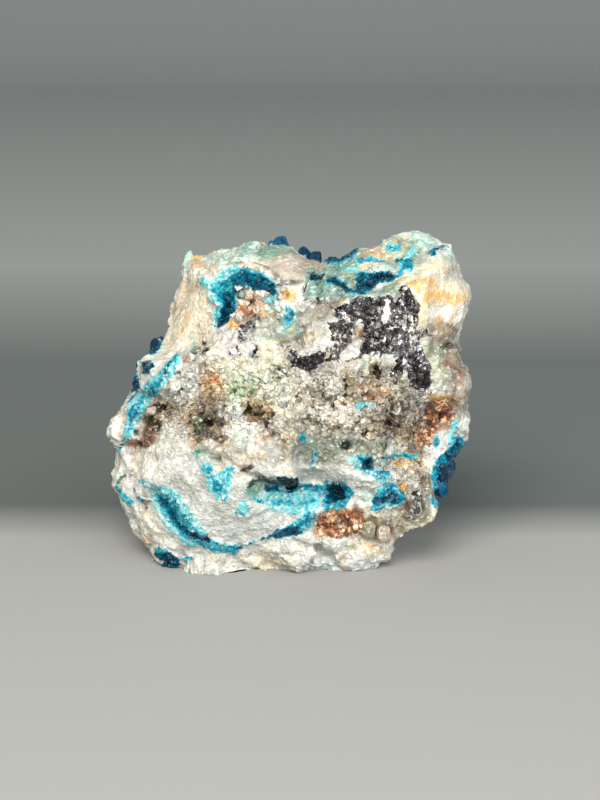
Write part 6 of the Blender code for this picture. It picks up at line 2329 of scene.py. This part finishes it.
# Small crystals that stand against the background on the left, and the quartz horn of the corner
LEFT_EDGE = (
    BigCrystal(-8.15, 13.75, 1.2, (0.42, 0.34, 0.5), (-30.0, 10.0, 20.0), Blue.DEEP),
    BigCrystal(-7.95, 13.95, 1.4, (0.34, 0.3, 0.42), (10.0, 0.0, 50.0), Blue.DEEP),
    BigCrystal(-9.05, 12.45, 1.0, (0.24, 0.2, 0.4), (-62.0, 0.0, 20.0), Blue.DEEP),
    BigCrystal(-9.25, 11.6, 0.9, (0.24, 0.2, 0.34), (-48.0, 0.0, 70.0), Blue.DEEP),
)
CORNER_HORN = (
    BigCrystal(-6.1, 18.8, 1.9, (0.42, 0.34, 0.8), (-4.0, 6.0, 30.0), Tint.MINT),
    BigCrystal(-5.65, 18.95, 1.7, (0.44, 0.34, 0.46), (24.0, 0.0, 10.0), Tint.OCHRE),
)

# Single grains that stand out in the hollows; each is set on the rock where it is seen
SET_GRAINS = (
    BigCrystal(-8.4, 9.95, 0.0, (0.34, 0.3, 0.36), (12.0, 0.0, 20.0), Tint.PINKISH),
    BigCrystal(-8.65, 9.35, 0.0, (0.3, 0.22, 0.28), (60.0, 10.0, 40.0), Tint.BOTTLE),
    BigCrystal(-2.85, 17.03, 0.0, (0.33, 0.3, 0.32), (20.0, 30.0, 10.0), Tint.MOSS),
    BigCrystal(-5.68, 8.5, 0.0, (0.15, 0.18, 0.44), (-6.0, 0.0, 30.0), Tint.OLIVE),
    BigCrystal(-5.58, 9.1, 0.0, (0.22, 0.2, 0.42), (-18.0, 0.0, 0.0), Tint.SEA),
    BigCrystal(-4.3, 9.12, 0.0, (0.24, 0.2, 0.22), (40.0, 20.0, 15.0), Tint.OLIVE),
    BigCrystal(-4.2, 8.02, 0.0, (0.17, 0.15, 0.15), (0.0, 40.0, 0.0), Tint.HAZEL),
    BigCrystal(-5.75, 13.55, 0.0, (0.2, 0.16, 0.3), (50.0, 0.0, 25.0), Tint.MOSS),
    BigCrystal(3.3, 2.42, 0.0, (0.2, 0.2, 0.22), (30.0, 0.0, 50.0), Tint.CREAM),
    BigCrystal(3.75, 2.5, 0.0, (0.24, 0.2, 0.2), (-20.0, 20.0, 10.0), Tint.PEACH),
    BigCrystal(4.15, 2.65, 0.0, (0.18, 0.18, 0.2), (80.0, 0.0, 30.0), Tint.CREAM),
    BigCrystal(2.1, 2.75, 0.0, (0.2, 0.18, 0.16), (10.0, 30.0, 0.0), Tint.PEACH),
    BigCrystal(4.95, 2.6, 0.0, (0.46, 0.4, 0.56), (8.0, 0.0, 20.0), Tint.OLIVE),
    BigCrystal(5.8, 2.35, 0.0, (0.44, 0.4, 0.5), (-10.0, 10.0, 50.0), Tint.CLAY),
    BigCrystal(5.2, 11.75, 0.0, (0.2, 0.18, 0.24), (20.0, 0.0, 0.0), Tint.HAZEL),
    BigCrystal(2.8, 9.5, 0.0, (0.3, 0.24, 0.24), (70.0, 0.0, 10.0), Tint.PINKISH),
    BigCrystal(6.6, 9.9, 0.0, (0.26, 0.24, 0.3), (30.0, 10.0, 40.0), Tint.WHITE),
    BigCrystal(0.9, 9.6, 0.0, (0.24, 0.2, 0.24), (0.0, 20.0, 30.0), Tint.TAN),
)

RUST_SIDE = field_of((7.7, 7.4), (8.4, 8.0), (9.0, 8.8), (9.8, 9.1), (9.8, 10.2), (8.6, 10.3), (8.2, 9.2), (7.7, 8.2), soft=0.9)
RUST_BASE = field_of((1.4, 2.5), (2.6, 2.2), (4.2, 2.2), (4.6, 3.0), (4.0, 3.7), (2.8, 3.6), (1.7, 3.4), soft=0.8)

VESZELYITE_GROWTHS = (
    (Growth("veszelyite_arc", Habit.CHISEL, 900, (0.08, 0.26), 0.7, 0.74, 201, ("veszelyite_arc_crust",)), ARC_BLUE),
    (Growth("veszelyite_ridge", Habit.CHISEL, 420, (0.08, 0.24), 0.7, 0.74, 203, ("veszelyite_ridge_crust",)), RIDGE_BLUE),
    (Growth("veszelyite_skyline", Habit.CHISEL, 240, (0.08, 0.24), 0.7, 0.74, 205), SKYLINE_BLUE),
    (Growth("veszelyite_vug", Habit.CHISEL, 600, (0.07, 0.24), 0.8, 0.74, 207, ("veszelyite_vug_crust",)), VUG_BLUE),
    (Growth("veszelyite_stripe", Habit.CHISEL, 420, (0.07, 0.22), 0.7, 0.74, 209, ("veszelyite_left_stripe",)), STRIPE_BLUE),
    (Growth("veszelyite_seam", Habit.CHISEL, 700, (0.07, 0.2), 0.7, 0.74, 211, ("veszelyite_seam_crust",)), SEAM_BLUE),
    (Growth("veszelyite_foot", Habit.CHISEL, 160, (0.08, 0.26), 0.7, 0.62, 213, ("veszelyite_foot_crust",)), FOOT_BLUE),
    (Growth("veszelyite_side_crystals", Habit.CHISEL, 420, (0.1, 0.42), 0.6, 0.62, 215), SIDE_BLUE),
    (Growth("veszelyite_sprinkled", Habit.CHISEL, 500, (0.06, 0.2), 0.8, 0.74, 217), SPRINKLED_BLUE),
    (Growth("veszelyite_back", Habit.CHISEL, 700, (0.12, 0.5), 0.7, 0.62, 219, ("veszelyite_back_crust",)), BACK_BLUE),
)


@dataclass
class Specimen:
    """The whole specimen: the rock and everything that grows on it.

    Attributes:
        cuts: squares along each side of the rock's six grids.
    """

    cuts: int = 128

    def area_chance(self, surface: Surface, patch: Stroke) -> np.ndarray:
        """How likely each front vertex is to carry a crystal of a patch.

        Args:
            surface: the rock.
            patch: the patch.

        Returns:
            Weights, one to a vertex.
        """
        u, w = surface.wandered(0.5)
        return (patch.cover(u, w) * (surface.ahead > 0.02)) ** 2 + 1e-12

    def blue_chance(self, surface: Surface, patches: tuple[BluePatch, ...]) -> np.ndarray:
        """How likely each vertex is to carry a veszelyite crystal.

        Args:
            surface: the rock.
            patches: the patches where veszelyite grows.

        Returns:
            Weights, one to a vertex.
        """
        u, w = surface.wandered(0.2)
        side = surface.ahead < -0.02 if patches is BACK_BLUE else surface.ahead > -0.08
        cover = np.max([item.patch.cover(u, w) for item in patches], axis=0)
        return (cover * side) ** 3 * (1.1 - surface.tone) ** 1.5 + 1e-12

    def build(self) -> int:
        """Build and dress every piece.

        Returns:
            How many pieces were made.
        """
        surface = Surface.of_rock(self.cuts)
        quartz, veszelyite = VeinQuartz(), Veszelyite()
        clear = Veszelyite("clear_veszelyite", clear=0.1, shine=0.22, ramp=CRYSTAL_RAMP)
        makers = [Body(surface, quartz)]
        bare = np.clip(1.0 - surface.blue - surface.metal, 0.0, 1.0) * np.clip(4.0 * surface.ahead - 0.4, 0.0, 1.0)
        grain_chance = np.clip(surface.grit - 0.15, 0.0, 1.0) ** 2 * bare
        grains = Growth("quartz_grains", Habit.CRUMB, 5500, (0.1, 0.34), 0.8, 0.66, 301)
        makers.append(Druse(grains, surface, grain_chance, quartz))
        points_chance = np.clip(surface.coarse - 1.0, 0.0, 1.0) ** 2 * bare + 1e-12
        points = Growth("quartz_points", Habit.QUARTZ_POINT, 1200, (0.15, 0.42), 0.8, 0.6, 303)
        makers.append(Druse(points, surface, points_chance, quartz))
        for growth, patches in VESZELYITE_GROWTHS:
            makers.append(Druse(growth, surface, self.blue_chance(surface, patches), veszelyite))
        sulphide = Growth("sulphide_blocks", Habit.CLEAVED, 1300, (0.08, 0.3), 0.7, 0.7, 305, ("sulphide_mass",))
        u, w = surface.wandered(0.16)
        massive = np.max([patch.cover(u, w) for patch in SULPHIDE[:2]], axis=0)
        makers.append(Druse(sulphide, surface, (surface.metal * massive) ** 2 + 1e-12, Sulphide()))
        rust_side = Growth("limonite_side", Habit.CRUMB, 420, (0.08, 0.34), 0.8, 0.66, 307, ("limonite_side_crust",))
        makers.append(Druse(rust_side, surface, self.area_chance(surface, RUST_SIDE), Limonite()))
        rust_base = Growth("limonite_base", Habit.CRUMB, 460, (0.08, 0.34), 0.8, 0.66, 309, ("limonite_base_crust",))
        makers.append(Druse(rust_base, surface, self.area_chance(surface, RUST_BASE), Limonite()))
        makers.append(CrystalGroup("crest_crystal_left", CREST_LEFT, clear, "veszelyite_crest_crystal_left"))
        makers.append(CrystalGroup("crest_crystal_right", CREST_RIGHT, clear, "veszelyite_crest_crystal_right"))
        makers.append(CrystalGroup("side_crystals", SIDE_CLUSTER, clear, "veszelyite_side_cluster"))
        makers.append(CrystalGroup("left_edge_crystals", LEFT_EDGE, clear))
        makers.append(CrystalGroup("quartz_horn", CORNER_HORN, quartz))
        set_grains = tuple(replace(grain, d=surface.depth_at(grain.u, grain.w)) for grain in SET_GRAINS)
        makers.append(CrystalGroup("quartz_set_grains", set_grains, quartz))
        for maker in makers:
            maker.dress(maker.build())
        return len(makers)


@dataclass(frozen=True)
class Studio:
    """The floor, the wall and the light.

    Attributes:
        half_width: half the sweep's width in metres.
        front: how far the floor runs toward the viewer.
        bend: where the floor starts to rise.
        radius: radius of the rise.
        height: top of the wall.
    """

    half_width: float = 0.6
    front: float = 0.6
    bend: float = 0.35
    radius: float = 0.1
    height: float = 0.6

    def build_sweep(self):
        """Make the floor and wall: one sheet, straight, then a quarter circle, then straight."""
        steps = np.concatenate([np.linspace(-1.0, 0.0, 2), np.linspace(0.05, 1.0, 20), [2.0]])
        turn = np.clip(steps, 0.0, 1.0) * math.pi / 2.0
        y = np.where(steps < 0.0, -self.front, self.bend + self.radius * np.sin(turn))
        z = np.where(steps > 1.0, self.height, self.radius * (1.0 - np.cos(turn)))
        across = np.array([-self.half_width, self.half_width])
        points = np.stack([np.tile(across, len(steps)), np.repeat(y, 2), np.repeat(z, 2)], axis=-1)
        row = np.arange(len(steps) - 1)[:, None] * 2
        sweep = new_piece("studio_sweep", points, row + np.array([0, 1, 3, 2]), flat=False)
        sweep.data.materials.append(StudioSweep().material())

    def add_light(self, name: str, place: tuple, size: float, power: float, colour: str):
        """Add a soft light that faces the specimen.

        Args:
            name: its name.
            place: where it stands, in metres.
            size: its width in metres.
            power: its power in watts.
            colour: its hex code.
        """
        data = bpy.data.lights.new(name, "AREA")
        data.size, data.energy, data.color = size, power, linear(colour)
        light = bpy.data.objects.new(name, data)
        light.location = place
        light.rotation_euler = (Vector((0.0, 0.0, 0.01)) - Vector(place)).to_track_quat("-Z", "Y").to_euler()
        bpy.context.scene.collection.objects.link(light)

    def build(self):
        """Make the sweep, the lights and the even daylight."""
        self.build_sweep()
        self.add_light("window", (-0.04, -0.17, 0.17), 0.14, 0.72, "#fffaf2")
        self.add_light("fill", (0.14, -0.2, 0.07), 0.2, 0.6, "#f8fbff")
        world = bpy.data.worlds.new("daylight")
        world.use_nodes = True
        sky = world.node_tree.nodes["Background"]
        sky.inputs["Color"].default_value = (*linear("#eaefec"), 1.0)
        sky.inputs["Strength"].default_value = 0.66
        scene = bpy.context.scene
        scene.world = world
        scene.view_settings.view_transform = "Standard"


def main():
    """Load the frame, and build the specimen and its studio."""
    logging.basicConfig(level=logging.INFO, format="%(message)s")
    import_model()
    VIEW.add_camera()
    pieces = Specimen().build()
    Studio().build()
    LOG.info("made %d pieces", pieces)


if __name__ == "__main__":
    main()
